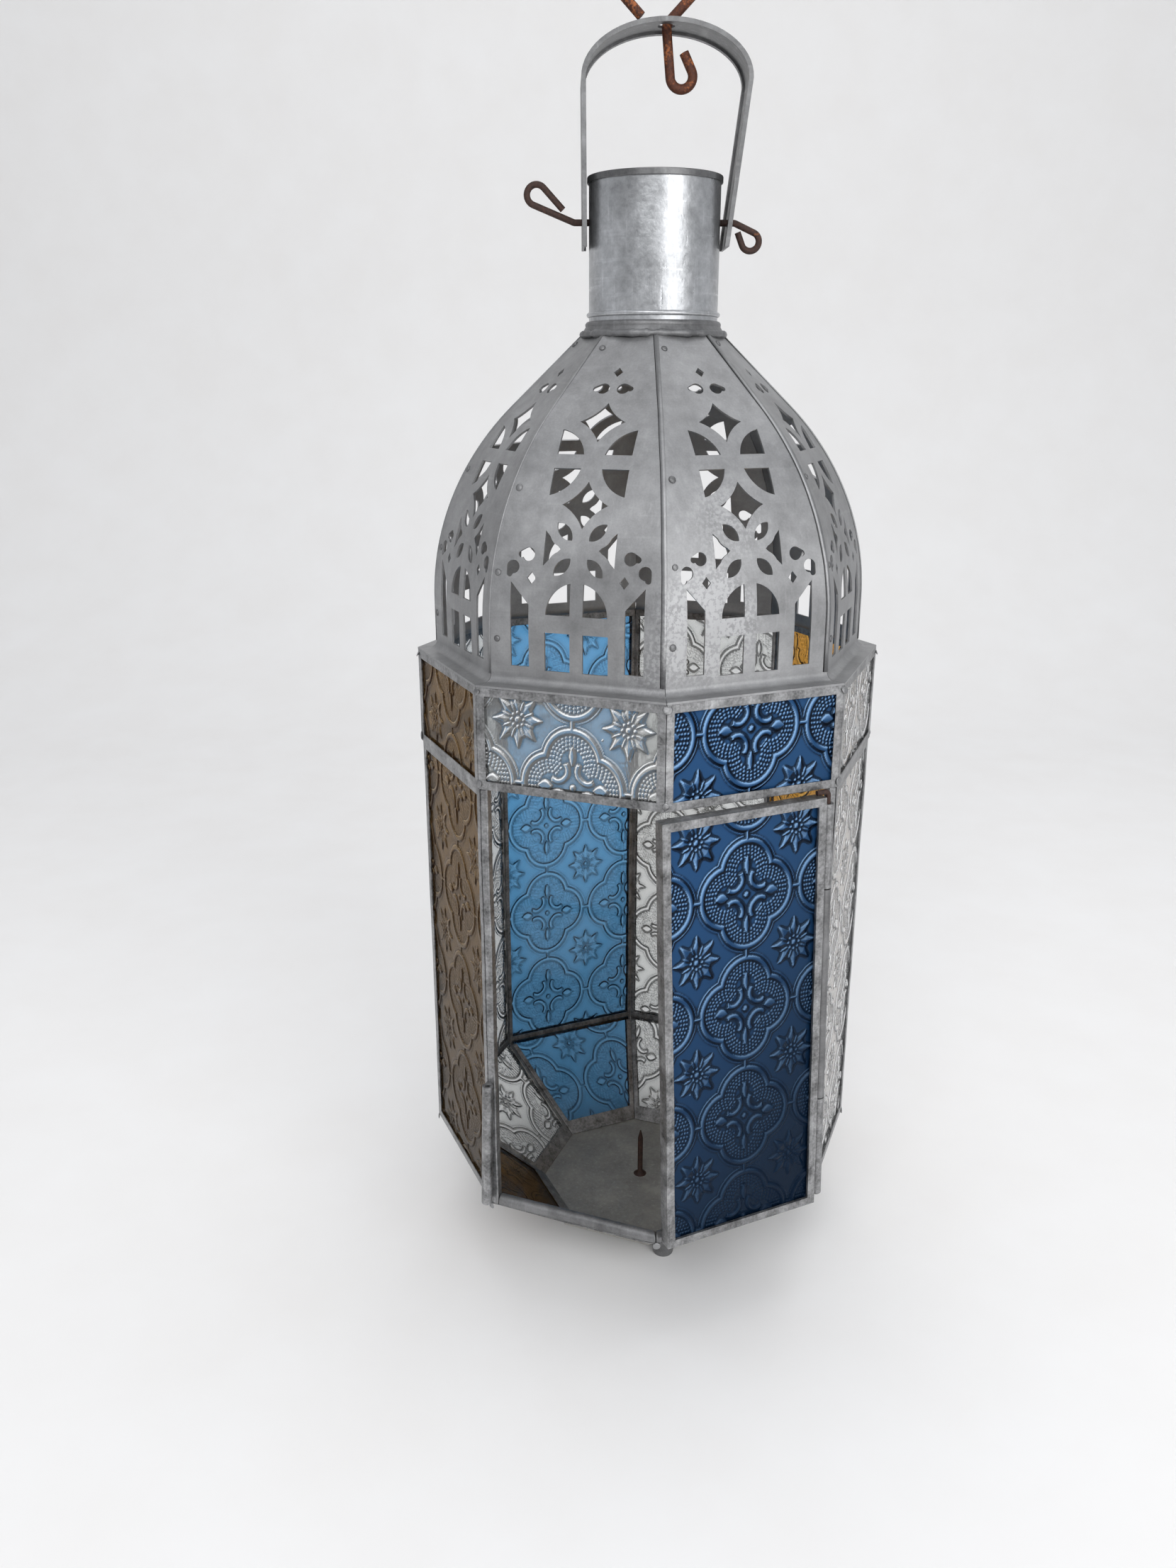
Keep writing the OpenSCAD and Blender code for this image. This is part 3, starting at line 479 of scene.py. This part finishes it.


# Up and to the left: the door's lower right corner is darkened there as painted shade.
ACROSS_DOOR = (-1.1, 0, 1)
glass = {
    "clear": rolled_glass(
        "glass_clear",
        (0.88, 0.9, 0.89),
        (1.0, 1.0, 1.0),
        film=((0.1, 0.1, 0.1), (0.68, 0.7, 0.71), (1.0, 1.0, 1.0)),
        amount=(0.12, 0.8),
        gloss=0.45,
    ),
    "blue": rolled_glass(
        "glass_blue",
        (0.12, 0.36, 0.64),
        (0.24, 0.52, 0.8),
        film=((0.01, 0.04, 0.09), (0.1, 0.25, 0.45), (0.42, 0.66, 0.9)),
        amount=(0.0, 0.5),
        foot=0.5,
    ),
    "cobalt": rolled_glass(
        "glass_cobalt",
        (0.01, 0.06, 0.2),
        (0.05, 0.18, 0.4),
        film=((0.001, 0.002, 0.005), (0.02, 0.075, 0.19), (0.2, 0.36, 0.6)),
        amount=(0.7, 0.97),
        way=ACROSS_DOOR,
        reach=(-10, 225),
        foot=0.0,
        gloss=0.12,
        shine=(0.4, 0.65, 1),
    ),
    "amber": rolled_glass(
        "glass_amber",
        (0.6, 0.3, 0.05),
        (0.8, 0.48, 0.12),
        film=((0.03, 0.01, 0.002), (0.28, 0.18, 0.08), (0.7, 0.48, 0.24)),
        amount=(0.0, 0.3),
        foot=0.5,
        gloss=0.2,
    ),
    "dusty_amber": rolled_glass(
        "glass_dusty_amber",
        (0.46, 0.25, 0.07),
        (0.62, 0.38, 0.15),
        film=((0.03, 0.012, 0.004), (0.24, 0.15, 0.065), (0.5, 0.37, 0.22)),
        amount=(0.25, 0.75),
        foot=0.35,
        reach=(60, 240),
        gloss=0.05,
        shine=(1, 0.8, 0.55),
        ior=1.15,
    ),
}
print("glass finishes", sorted(glass))

# %% [markdown]
# The backdrop is a plain pale wash. It has a slight grain so that it isn't a flat colour.

# %% Backdrop finish
paper = Finish("pale_paper", Roughness=0.85)
PAPER_SHADE, PAPER_LIGHT = (0.85, 0.84, 0.83), (0.87, 0.865, 0.86)
paper.feed(Base_Color=paper.clouds(60, detail=3).colours((0.3, PAPER_SHADE), (0.7, PAPER_LIGHT)))
backdrop_mesh.materials.append(paper.material)
print("backdrop finish", paper.material.name)

# %% [markdown]
# ## Worked metal
#
# A CAD node is exact, with knife-sharp edges. Folded sheet has soft ones, and they catch the light. Each
# metal node is copied, its triangles are joined into whole faces, and a small bevel rounds the edges.
# The copy then stands for the node. A part that was cut and bent by hand also wanders a little, so the
# cames are sliced into short lengths and nudged by smooth noise before the bevel.


# %% Copying a node
def add_piece(name, mesh, body, material=None):
    """Puts a mesh in the scene as a piece that rides on a body."""
    piece = bpy.data.objects.new(name, mesh)
    bpy.context.scene.collection.objects.link(piece)
    if material:
        mesh.materials.clear()
        mesh.materials.append(material)
    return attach(piece, body)


def node_copy(name):
    """The node's mesh as a bmesh of whole, joined faces."""
    made = bmesh.new()
    made.from_mesh(nodes[name].data)
    bmesh.ops.remove_doubles(made, verts=made.verts, dist=1e-6)
    return made


def slice_up(made, axis, step):
    """Cuts every face across an axis at each step, so that long strips can wander."""
    values = [v.co.dot(axis) for v in made.verts]
    place = min(values) + step
    while place < max(values) - step / 2:
        parts = made.verts[:] + made.edges[:] + made.faces[:]
        bmesh.ops.bisect_plane(made, geom=parts, plane_co=axis * place, plane_no=axis, dist=1e-7)
        place += step


def wander(made, amount, size):
    """Moves each point by smooth noise, to look cut and bent by hand."""
    for vert in made.verts:
        vert.co += noise.noise_vector(vert.co / size) * amount


def worked(name, material, bevel=0.0, slices=(), amount=0.0, flat_angle=0.5, smooth=35):
    """Replaces a metal node by a softened copy of it."""
    made = node_copy(name)
    bmesh.ops.dissolve_limit(
        made, angle_limit=math.radians(flat_angle), verts=made.verts, edges=made.edges
    )
    for axis, step in slices:
        slice_up(made, Vector(axis), step)
    if amount:
        wander(made, amount, 0.025)
    for face in made.faces:
        face.smooth = True
    for edge in made.edges:
        if len(edge.link_faces) == 2:
            edge.smooth = edge.calc_face_angle() < math.radians(smooth)
    mesh = bpy.data.meshes.new(name + "_worked")
    made.to_mesh(mesh)
    made.free()
    piece = add_piece(name + "_worked", mesh, nodes[name]["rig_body"], material)
    if bevel:
        modifier = piece.modifiers.new("soft edges", "BEVEL")
        modifier.width = bevel
        modifier.segments = 2
        modifier.limit_method = "ANGLE"
        modifier.angle_limit = math.radians(40)
        modifier.harden_normals = True
        modifier.use_clamp_overlap = True
    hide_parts(name)
    return piece


print("ready to work", len(nodes), "nodes")

# %% Cames, sheets and wires
UP_SLICES = [((0, 0, 1), 9 * MM)]
CAME_BEVEL, CAME_WANDER = 0.55 * MM, 0.22 * MM
frames = ["side_frame_%d" % k for k in range(3, 9)] + ["band_frame", "door_frame", "door_posts"]
for name in frames:
    worked(name, came_tin, CAME_BEVEL, UP_SLICES, CAME_WANDER)
worked("door_sill", dull_tin, CAME_BEVEL, UP_SLICES, CAME_WANDER)
worked("lower_frame", came_tin, CAME_BEVEL)
for k in range(1, 9):
    worked("dome_gore_%d" % k, dome_sheet)
worked("floor_plate", floor_tin, 0.2 * MM)
worked("feet", dull_tin, 0.5 * MM)
for name in ("post_sleeve", "left_sleeve", "door_sleeves"):
    worked(name, dull_tin if name == "post_sleeve" else came_tin, 0.15 * MM)
worked("neck_tube", neck_sheet, 0.15 * MM)
worked("neck_collar", dull_tin, 0.2 * MM)
worked("neck_cap", strap_sheet, 0.3 * MM)
worked("bail_strap", strap_sheet, 0.2 * MM, smooth=25)
for name in ("bail_pin_left", "bail_pin_right", "hinge_pin", "candle_spike"):
    worked(name, pin_rust, smooth=50)
worked("hanging_hook", hook_rust, smooth=50)

# %% [markdown]
# ## The relief of the glass
#
# The rolled pattern repeats on a grid: a four-lobed medallion at each crossing, an eight-petalled rosette in
# the middle of each square, and a small bar where two medallions meet. It is an old, common pattern. It
# could be a bump map, but light bends in this relief, so it is worked out as a height for every point
# of a fine mesh. Each figure below is a sum of simple distances, in shares of the pattern's pitch.

# %% Small tools for heights
PITCH_X, PITCH_Z = 42.5 * MM, 47.2 * MM
RELIEF, SIDE_RELIEF = 0.9 * MM, 0.5 * MM
GRID, FINE_GRID = 0.45 * MM, 0.34 * MM


def mound(distance, reach, power=0.5):
    """A rounded mound: 1 in the middle, 0 at reach."""
    return np.clip(1 - (distance / reach) ** 2, 0, 1) ** power


def ridge(distance, place, width):
    """A rounded ridge that follows a line at a given distance."""
    return mound(distance - place, width)


def petal(along, across, length, width):
    """A mound with two pointed ends."""
    return mound(across, width * np.clip(1 - (along / length) ** 2, 1e-3, 1))


print("a mound half way out", round(float(mound(0.5, 1.0)), 2))

# %% Medallion
LOBE_AT, FIELD_R, RIM_R = 0.2, 0.222, 0.276
BEAD_ROWS, BEAD_STEP, BEAD_R, BEADS_FROM = (0.203, 0.174, 0.145, 0.116), 0.037, 0.0145, 0.175
BUD_AT, SCROLL_X, SCROLL_Y, SCROLL_R, SCROLL_END = 0.252, 0.135, 0.125, 0.083, 0.2


def medallion(x, y):
    """Four lobes with a broad rim, beads in rows, four buds and a scrolled cross."""
    ax, ay = np.abs(x), np.abs(y)
    far = np.maximum(ax, ay)
    near = np.minimum(ax, ay)
    from_lobe = np.hypot(far - LOBE_AT, near)
    turn = np.arctan2(near, far - LOBE_AT)
    height = 0.9 * ridge(from_lobe, (FIELD_R + RIM_R) / 2, (RIM_R - FIELD_R) / 2)
    height += 0.25 * ridge(from_lobe, RIM_R + 0.016, 0.009)
    inside = from_lobe < FIELD_R - 0.004
    radius = np.hypot(x, y)
    beads = np.zeros_like(x)
    for row in BEAD_ROWS:
        count = round(2 * math.pi * row / BEAD_STEP)
        step = turn * count / (2 * math.pi)
        along = (step - np.floor(step) - 0.5) * 2 * math.pi * row / count
        beads = np.maximum(beads, mound(np.hypot(along, from_lobe - row), BEAD_R))
    height += np.where(inside & (radius > BEADS_FROM), 0.34 * beads, 0)
    bud_wide = np.where(ax > ay, 0.046, 0.03)
    bud_long = np.where(ax > ay, 0.066, 0.082)
    height = np.maximum(height, 0.95 * petal(far - BUD_AT, near, bud_long, bud_wide))
    scroll = np.hypot(far - SCROLL_X, near - SCROLL_Y)
    arm = ridge(scroll, SCROLL_R, 0.023) * (radius < SCROLL_END)
    height = np.maximum(height, 0.8 * arm * (from_lobe < FIELD_R))
    return np.maximum(height, 0.8 * mound(radius, 0.026))


print("medallion at its middle", round(float(medallion(0.0, 0.0)), 2))


# %% Rosette
def rosette(x, y):
    """Eight pointed petals, a leaf between each two, and a beaded eye."""
    radius, turn = np.hypot(x, y), np.arctan2(y, x)
    swing = np.abs(np.sin(4 * turn))
    edge = 0.155 + 0.085 * (1 - swing) ** 1.5
    body = np.clip((edge - radius) / 0.03, 0, 1)
    facet = (0.35 + 0.65 * (1 - swing)) * np.clip((radius - 0.05) / 0.08, 0, 1)
    height = 0.85 * body * facet
    eighth = math.pi / 4
    off = (turn + eighth / 2) - np.round((turn + eighth / 2) / eighth) * eighth
    height = np.maximum(height, 0.65 * petal(radius - 0.11, off * radius, 0.045, 0.012))
    off = turn - np.round(turn / eighth) * eighth
    height = np.maximum(height, 0.6 * mound(np.hypot(radius - 0.056, off * radius), 0.015))
    return np.maximum(height, 0.8 * mound(radius, 0.027))


print("rosette at its middle", round(float(rosette(0.0, 0.0)), 2))


# %% The whole pattern
def relief_height(u, v):
    """Height from 0 to 1 of the rolled pattern, u and v in metres from a medallion's middle."""
    x = u / PITCH_X - np.round(u / PITCH_X)
    y = v / PITCH_Z - np.round(v / PITCH_Z)
    height = medallion(x, y)
    height = np.maximum(height, rosette(np.abs(x) - 0.5, np.abs(y) - 0.5))
    ax, ay = np.abs(x), np.abs(y)
    far, near = np.maximum(ax, ay), np.minimum(ax, ay)
    link = np.clip((0.018 - near) / 0.008, 0, 1) * (far > 0.468)
    return np.clip(np.maximum(height, 0.75 * link), 0, 1)


bud_top = relief_height(np.zeros(1), np.full(1, BUD_AT * PITCH_Z))[0]
print("height in the middle of a bud", round(float(bud_top), 2))

# %% [markdown]
# ## The panes
#
# A pane's place is read from its CAD node: the plane that it lies in and its four corners. The pattern is
# rolled on the outer side, cut at a different place for each pane, as glass from one large sheet is.


# %% A pane's plane and corners
def pane_plane(name):
    """Middle and directions of a pane, its points along them, and the four corners of its outer side."""
    made = node_copy(name)
    made.normal_update()
    widest = max(made.faces, key=lambda f: f.calc_area())
    out = widest.normal.copy()
    points = [v.co.copy() for v in made.verts]
    made.free()
    middle = sum(points, Vector()) / len(points)
    if out.dot(Vector((middle.x, middle.y, 0))) < 0:
        out.negate()
    up = (Vector((0, 0, 1)) - out * out.z).normalized()
    tangent = up.cross(out)
    offsets = [p - middle for p in points]
    local = np.array([(offset.dot(tangent), offset.dot(up), offset.dot(out)) for offset in offsets])
    front = local[local[:, 2] > local[:, 2].max() - 0.1 * MM]
    across, along = front[:, 0], front[:, 1]
    rising, falling = across + along, across - along
    corners = [np.argmin(rising), np.argmax(falling), np.argmax(rising), np.argmin(falling)]
    return middle, np.array([tangent, up, out]), local, front[corners, :2]


print("middle of the door pane, mm", [round(v / MM, 1) for v in pane_plane("door_pane")[0]])


# %% What the points of a pane carry
def groove_depth(height, reach):
    """How far each point lies below the average of its surroundings, from 0 to 1."""
    around = height.copy()
    for step in (1, 2, reach):
        around = (around + sum(np.roll(around, turn * step, axis) for turn in (-1, 1) for axis in (0, 1))) / 5
    return np.clip((around - height) * 5, 0, 1)


def steepness(rise, step):
    """How steep the relief is at each point: 0 to a slope of 1 in 5, 1 from a slope of 2 in 3."""
    rise = np.hypot(*np.gradient(rise, step))
    return np.clip((rise - 0.2) / 0.46, 0, 1)


def facing_light(rise, step):
    """How far each point faces up and left: 0.5 where flat, 1 at a slope of 1 in 2, 0 if it faces away."""
    along, across = np.gradient(rise, step)
    return np.clip((across - along) / math.sqrt(2) + 0.5, 0, 1)


print("facing of a flat", float(facing_light(np.zeros((3, 3)), 1.0)[1, 1]))


# %% An embossed pane
def embossed_pane(name, colour, phase, step, relief):
    """A closed pane with the pattern on its outer side, in place of its node."""
    middle, axes, local, (foot_left, foot_right, head_right, head_left) = pane_plane(name)
    columns = int(np.linalg.norm(head_right - head_left) / step) + 1
    rows = int((head_left - foot_left)[1] / step) + 1
    s, t = np.meshgrid(np.linspace(0, 1, columns), np.linspace(0, 1, rows))
    s, t = s[..., None], t[..., None]
    flat = (foot_left * (1 - s) + foot_right * s) * (1 - t) + (head_left * (1 - s) + head_right * s) * t
    up_share = axes[1][2]
    rise = (middle.z + flat[..., 1] * up_share - phase[1] * MM) / up_share
    centre = (foot_left + foot_right)[0] / 2 * (1 - t) + (head_left + head_right)[0] / 2 * t
    height = relief_height(flat[..., 0] - centre[..., 0] - phase[0] * MM, rise)
    depth = local[:, 2].max() - relief * (1 - height)
    grid = np.concatenate([flat, depth[..., None]], axis=-1).reshape(-1, 3)
    edge = np.arange(rows * columns).reshape(rows, columns)
    ring = np.concatenate([edge[0], edge[1:, -1], edge[-1, -2::-1], edge[-2:0:-1, 0]])
    back = grid[ring].copy()
    back[:, 2] = local[:, 2].min()
    points = np.concatenate([grid, back]) @ axes + np.array(middle)
    quads = np.stack([edge[:-1, :-1], edge[:-1, 1:], edge[1:, 1:], edge[1:, :-1]], axis=-1).reshape(-1, 4)
    behind = len(grid) + np.arange(len(ring))
    sides = np.stack([np.roll(ring, -1), ring, behind, np.roll(behind, -1)], axis=-1)
    # The groove depth sets grime and painted shade in the grooves, and the facing sets where the film paints
    # light and shade.
    carried = {
        "relief": height,
        "grime": groove_depth(height, 3),
        "slope": steepness(height * relief, step),
        "facing": facing_light(height * relief, step),
    }
    return pane_piece(name, points, np.concatenate([quads, sides]), behind[::-1], carried, colour)


def pane_piece(name, points, quads, back, carried, colour):
    """Makes the mesh from its points, its four-sided faces, its many-sided back and what its points carry."""
    mesh = bpy.data.meshes.new(name + "_embossed")
    mesh.vertices.add(len(points))
    mesh.vertices.foreach_set("co", points.astype(np.float32).ravel())
    mesh.loops.add(quads.size + len(back))
    mesh.loops.foreach_set("vertex_index", np.concatenate([quads.ravel(), back]).astype(np.int32))
    mesh.polygons.add(len(quads) + 1)
    mesh.polygons.foreach_set("loop_start", np.arange(0, quads.size + 1, 4, dtype=np.int32))
    mesh.polygons.foreach_set("use_smooth", np.ones(len(quads) + 1, bool))
    for label, values in carried.items():
        spread = np.zeros(len(points), np.float32)
        spread[: values.size] = values.ravel()
        mesh.attributes.new(label, "FLOAT", "POINT").data.foreach_set("value", spread)
    mesh.update(calc_edges=True)
    mesh.set_sharp_from_angle(angle=math.radians(60))
    piece = add_piece(name + "_embossed", mesh, nodes[name]["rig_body"], glass[colour])
    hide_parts(name)
    return len(quads)


print("relief, mm:", round(RELIEF / MM, 2), "and", round(SIDE_RELIEF / MM, 2), "on the two side faces")

# %% Roll the panes
COLOURS = ["clear", "cobalt", "clear", "amber", "clear", "blue", "clear", "dusty_amber"]
phases = {
    "door_pane": (1.4, 143.7),
    "band_pane_1": (1.0, 230.5),
    "band_pane_2": (-1.5, 252.5),
    "side_pane_6": (12.2, 160.0),
}
FRONT_PANES = ("door_pane", "band_pane_1", "band_pane_2")
counts = {}
for name in sorted(n for n in nodes if "_pane" in n):
    k = int(name[-1]) if name[-1].isdigit() else 2
    tier = len(name) + 3 * k
    phase = phases.get(name, ((tier * 13) % 43 - 21, (tier * 29) % 47))
    step = FINE_GRID if name in FRONT_PANES else GRID
    counts[name] = embossed_pane(name, COLOURS[k - 1], phase, step, SIDE_RELIEF if k in (3, 8) else RELIEF)
print("panes", len(counts), "faces", sum(counts.values()))

# %% [markdown]
# ## What repeats: nails, seams and solder
#
# The gores overlap at the ridges: one sheet's edge lies on the next, held by four small nails, and a line of
# shadow follows the edge. Every corner of the frames has a drop of solder. One Geometry Nodes tree puts a
# rounded head on each point of a mesh, turned to the way that the point faces. A second one repeats a mesh
# round the lantern's axis. Both trees end as plain meshes, because the export keeps no instances.


# %% A tree's inputs and its result
def new_tree(name, inputs):
    """An empty Geometry Nodes tree with named inputs; returns the tree and a wire for each input."""
    tree = bpy.data.node_groups.new(name, "GeometryNodeTree")
    tree.interface.new_socket("Geometry", in_out="INPUT", socket_type="NodeSocketGeometry")
    for label, kind in inputs:
        tree.interface.new_socket(label, in_out="INPUT", socket_type="NodeSocket" + kind)
    tree.interface.new_socket("Geometry", in_out="OUTPUT", socket_type="NodeSocketGeometry")
    entry = tree.nodes.new("NodeGroupInput")
    labels = ["Geometry"] + [label for label, kind in inputs]
    return tree, {label: Wire(tree, entry.outputs[label]) for label in labels}


def end_tree(tree, geometry, material):
    """Turns instances into real geometry, gives it the material, smooths it, and ends the tree."""
    real = geometry.node("GeometryNodeRealizeInstances", inputs={"Geometry": geometry})
    smooth = real.node("GeometryNodeSetShadeSmooth", inputs={"Geometry": real})
    painted = smooth.node("GeometryNodeSetMaterial", inputs={"Geometry": smooth, "Material": material})
    tree.links.new(painted.socket, tree.nodes.new("NodeGroupOutput").inputs[0])


def grow(name, mesh, tree, values, body):
    """Runs a tree on a mesh and keeps its result as a plain piece on a body."""
    holder = bpy.data.objects.new(name + "_seed", mesh)
    bpy.context.scene.collection.objects.link(holder)
    modifier = holder.modifiers.new("grow", "NODES")
    modifier.node_group = tree
    for item in tree.interface.items_tree:
        if item.in_out == "INPUT" and item.name in values:
            modifier[item.identifier] = values[item.name]
    ready = holder.evaluated_get(bpy.context.evaluated_depsgraph_get())
    made = bpy.data.meshes.new_from_object(ready)
    bpy.data.objects.remove(holder)
    made.name = name
    return add_piece(name, made, body)


print("tree helpers ready")

# %% Tree: a head on each point
HEAD_INPUTS = [("Radius", "Float"), ("Height", "Float"), ("Variation", "Float"), ("Seed", "Int")]
heads, wires = new_tree("heads_on_points", HEAD_INPUTS + [("Material", "Material")])
start = wires["Geometry"]
ball = start.node("GeometryNodeMeshUVSphere", inputs={"Segments": 10, "Rings": 6, "Radius": 1.0})
facing = start.node("GeometryNodeInputNamedAttribute", {"data_type": "FLOAT_VECTOR"}, {"Name": "out"})
turned = start.node("FunctionNodeAlignRotationToVector", {"axis": "Z"}, {"Vector": facing})
share = start.node(
    "FunctionNodeRandomValue",
    {"data_type": "FLOAT"},
    {2: 1 - wires["Variation"], 3: wires["Variation"] + 1, "Seed": wires["Seed"]},
    out=1,
)
size = start.node(
    "ShaderNodeCombineXYZ",
    inputs={"X": wires["Radius"] * share, "Y": wires["Radius"] * share, "Z": wires["Height"] * share},
)
placed = start.node(
    "GeometryNodeInstanceOnPoints",
    inputs={"Points": start, "Instance": ball, "Rotation": turned, "Scale": size},
)
end_tree(heads, placed, wires["Material"])
print("tree", heads.name, "nodes", len(heads.nodes))

# %% Tree: copies round the axis
ring, wires = new_tree("copies_round_the_axis", [("Count", "Int"), ("Material", "Material")])
start = wires["Geometry"]
spots = start.node("GeometryNodeMeshLine", inputs={"Count": wires["Count"], "Offset": (0, 0, 0)})
step = start.node("GeometryNodeInputIndex") * (2 * math.pi) / wires["Count"]
turned = start.node("ShaderNodeCombineXYZ", inputs={"Z": step})
placed = start.node(
    "GeometryNodeInstanceOnPoints", inputs={"Points": spots, "Instance": start, "Rotation": turned}
)
end_tree(ring, placed, wires["Material"])
print("tree", ring.name, "nodes", len(ring.nodes))

# %% [markdown]
# A ridge's line is read from the CAD gore: the points of its outer side that lie in the plane through the
# front corner. The lap is a thin strip that follows it on the left-hand sheet.


# %% The line of a ridge
def ridge_line():
    """Radius and height of the dome's ridge at the front corner, from the ledge to the crown."""
    found = {}
    for vert in nodes["dome_gore_2"].data.vertices:
        x, y, z = vert.co
        if z > 268.7 * MM and abs(math.atan2(x, -y)) < math.radians(0.4):
            key = round(z / MM, 2)
            found[key] = max(found.get(key, 0), math.hypot(x, y))
    points = [(r, z * MM) for z, r in sorted(found.items())]
    return [
        (r, z)
        for r, z in points
        if not any(0 < other_z - z < 1.5 * MM and other_r > r - 0.05 * MM for other_r, other_z in points)
    ]


RIDGE = ridge_line()
for radius, height in (RIDGE[0], RIDGE[-1]):
    print("ridge end: radius", round(radius / MM, 1), "height", round(height / MM, 1))


def along_ridge(height):
    """The ridge's radius and slope, as a way up, at a height."""
    for (r0, z0), (r1, z1) in zip(RIDGE, RIDGE[1:]):
        if z0 <= height <= z1:
            share = (height - z0) / (z1 - z0)
            return r0 + (r1 - r0) * share, Vector((r1 - r0, z1 - z0)).normalized()
    raise ValueError("no ridge at this height")

# %% Laps of the dome
LAP_WIDTH, LAP_THICK, SUNK = 1.6 * MM, 0.45 * MM, 0.05 * MM
HALF_TURN = math.pi / 8


def beside_ridge(height, side):
    """The ridge's point at a height, and the ways along and out of the gore on its left (-1) or right (1)."""
    radius, rise = along_ridge(height)
    sine, cosine = math.sin(HALF_TURN), math.cos(HALF_TURN)
    outward = Vector((side * sine * rise.y, -cosine * rise.y, -cosine * rise.x)).normalized()
    return Vector((0, -radius, height)), Vector((side * cosine, sine, 0)), outward


def ridge_strip(name, first, last, thick, material):
    """A closed strip beside each ridge, between two distances from it, eight times round the axis."""
    strip = bmesh.new()
    sections = []
    for height in [z for r, z in RIDGE]:
        wave = noise.noise(Vector((0, 0, height * 90))) * 0.25 * MM
        corners = [(first, -SUNK), (last + wave, -SUNK), (last + wave, thick), (first, thick * 0.6)]
        place, sideways, outward = beside_ridge(height, -1)
        sections.append([strip.verts.new(place + sideways * left + outward * up) for left, up in corners])
    for lower, upper in zip(sections, sections[1:]):
        for i in range(4):
            strip.faces.new((lower[i], lower[(i + 1) % 4], upper[(i + 1) % 4], upper[i]))
    strip.faces.new(sections[0][::-1])
    strip.faces.new(sections[-1])
    bmesh.ops.recalc_face_normals(strip, faces=strip.faces)
    mesh = bpy.data.meshes.new(name)
    strip.to_mesh(mesh)
    strip.free()
    piece = grow(name, mesh, ring, {"Count": 8, "Material": material}, "lantern")
    return len(piece.data.polygons)


laps = ridge_strip("dome_laps", -0.1 * MM, LAP_WIDTH, LAP_THICK, dome_sheet)
# A dark strip just beside each lap: it paints the line of shadow that the lap casts.
shadow_strip_faces = ridge_strip("dome_lap_dirt", LAP_WIDTH - 0.4 * MM, LAP_WIDTH + 0.35 * MM, 0.12 * MM, seam_painted_shadow)
print("lap faces", laps, "and", shadow_strip_faces)


# %% Points that face a way
def facing_points(name, pairs):
    """A mesh of loose points, each with the way that it faces."""
    mesh = bpy.data.meshes.new(name)
    mesh.from_pydata([tuple(place) for place, out in pairs], [], [])
    ways = mesh.attributes.new("out", "FLOAT_VECTOR", "POINT")
    ways.data.foreach_set("vector", np.array([tuple(out) for place, out in pairs], np.float32).ravel())
    return mesh


NAIL_HEIGHTS, NAIL_SIDE, NAIL_LIFT = (283, 308, 336, 381), 2.6, 0.15 * MM
nails = []
for k in range(8):
    spin = Matrix.Rotation(k * math.pi / 4, 3, "Z")
    for n, height in enumerate(NAIL_HEIGHTS):
        right = (NAIL_SIDE + 0.5 * math.sin(3.1 * k + 1.7 * n)) * MM
        place, sideways, out = beside_ridge((height + 2.5 * math.sin(5 * k + n)) * MM, 1)
        nails.append((spin @ (place + sideways * right + out * NAIL_LIFT), spin @ out))
nail_values = {"Radius": 1.3 * MM, "Height": 0.6 * MM, "Variation": 0.12, "Seed": 4, "Material": dull_tin}
nail_piece = grow("dome_nails", facing_points("nail_places", nails), heads, nail_values, "lantern")
print("nails", len(nails))

# %% Solder at the corners
BODY_R, DROP_SIDE = 94.5 * MM, 0.3 * MM
DROP_HEIGHTS = ((43.2 * MM, 0.0, 0.0), (228.2 * MM, 0.5 * MM, 0.0), (263.3 * MM, 0.5 * MM, 0.5))
drops = []
for k in range(8):
    spin = Matrix.Rotation(k * math.pi / 4, 3, "Z")
    for height, proud, lean in DROP_HEIGHTS:
        place = Vector((DROP_SIDE, -BODY_R - proud, height))
        drops.append((spin @ place, (spin @ Vector((0, -1, lean))).normalized()))
drop_values = {"Radius": 1.5 * MM, "Height": 0.3 * MM, "Variation": 0.35, "Seed": 11, "Material": solder}
drop_piece = grow("corner_solder", facing_points("drop_places", drops), heads, drop_values, "lantern")
print("solder drops", len(drops))

# %% Ring of solder at the crown
CROWN_R, CROWN_Z, CROWN_THICK = 26.9 * MM, 387.0 * MM, 1.25 * MM
CROWN_STEPS, CROWN_SIDES = 128, 10
crown = bmesh.new()
hoops = []
for k in range(CROWN_STEPS):
    turn = 2 * math.pi * k / CROWN_STEPS
    way = Vector((math.sin(turn), -math.cos(turn), 0))
    centre = way * CROWN_R + Vector((0, 0, CROWN_Z))
    thick = CROWN_THICK * (1 + 0.45 * noise.noise(way * 9) + 0.25 * noise.noise(way * 24))
    hoop = []
    for n in range(CROWN_SIDES):
        tilt = 2 * math.pi * n / CROWN_SIDES
        offset = way * math.cos(tilt) + Vector((0, 0, math.sin(tilt)))
        hoop.append(crown.verts.new(centre + offset * thick))
    hoops.append(hoop)
for hoop, after in zip(hoops, hoops[1:] + hoops[:1]):
    for n in range(CROWN_SIDES):
        near = (n + 1) % CROWN_SIDES
        crown.faces.new((hoop[n], after[n], after[near], hoop[near])).smooth = True
bmesh.ops.recalc_face_normals(crown, faces=crown.faces)
crown_mesh = bpy.data.meshes.new("crown_solder")
crown.to_mesh(crown_mesh)
crown.free()
add_piece("crown_solder", crown_mesh, "lantern", dull_tin)
print("ring of solder, steps", len(hoops))
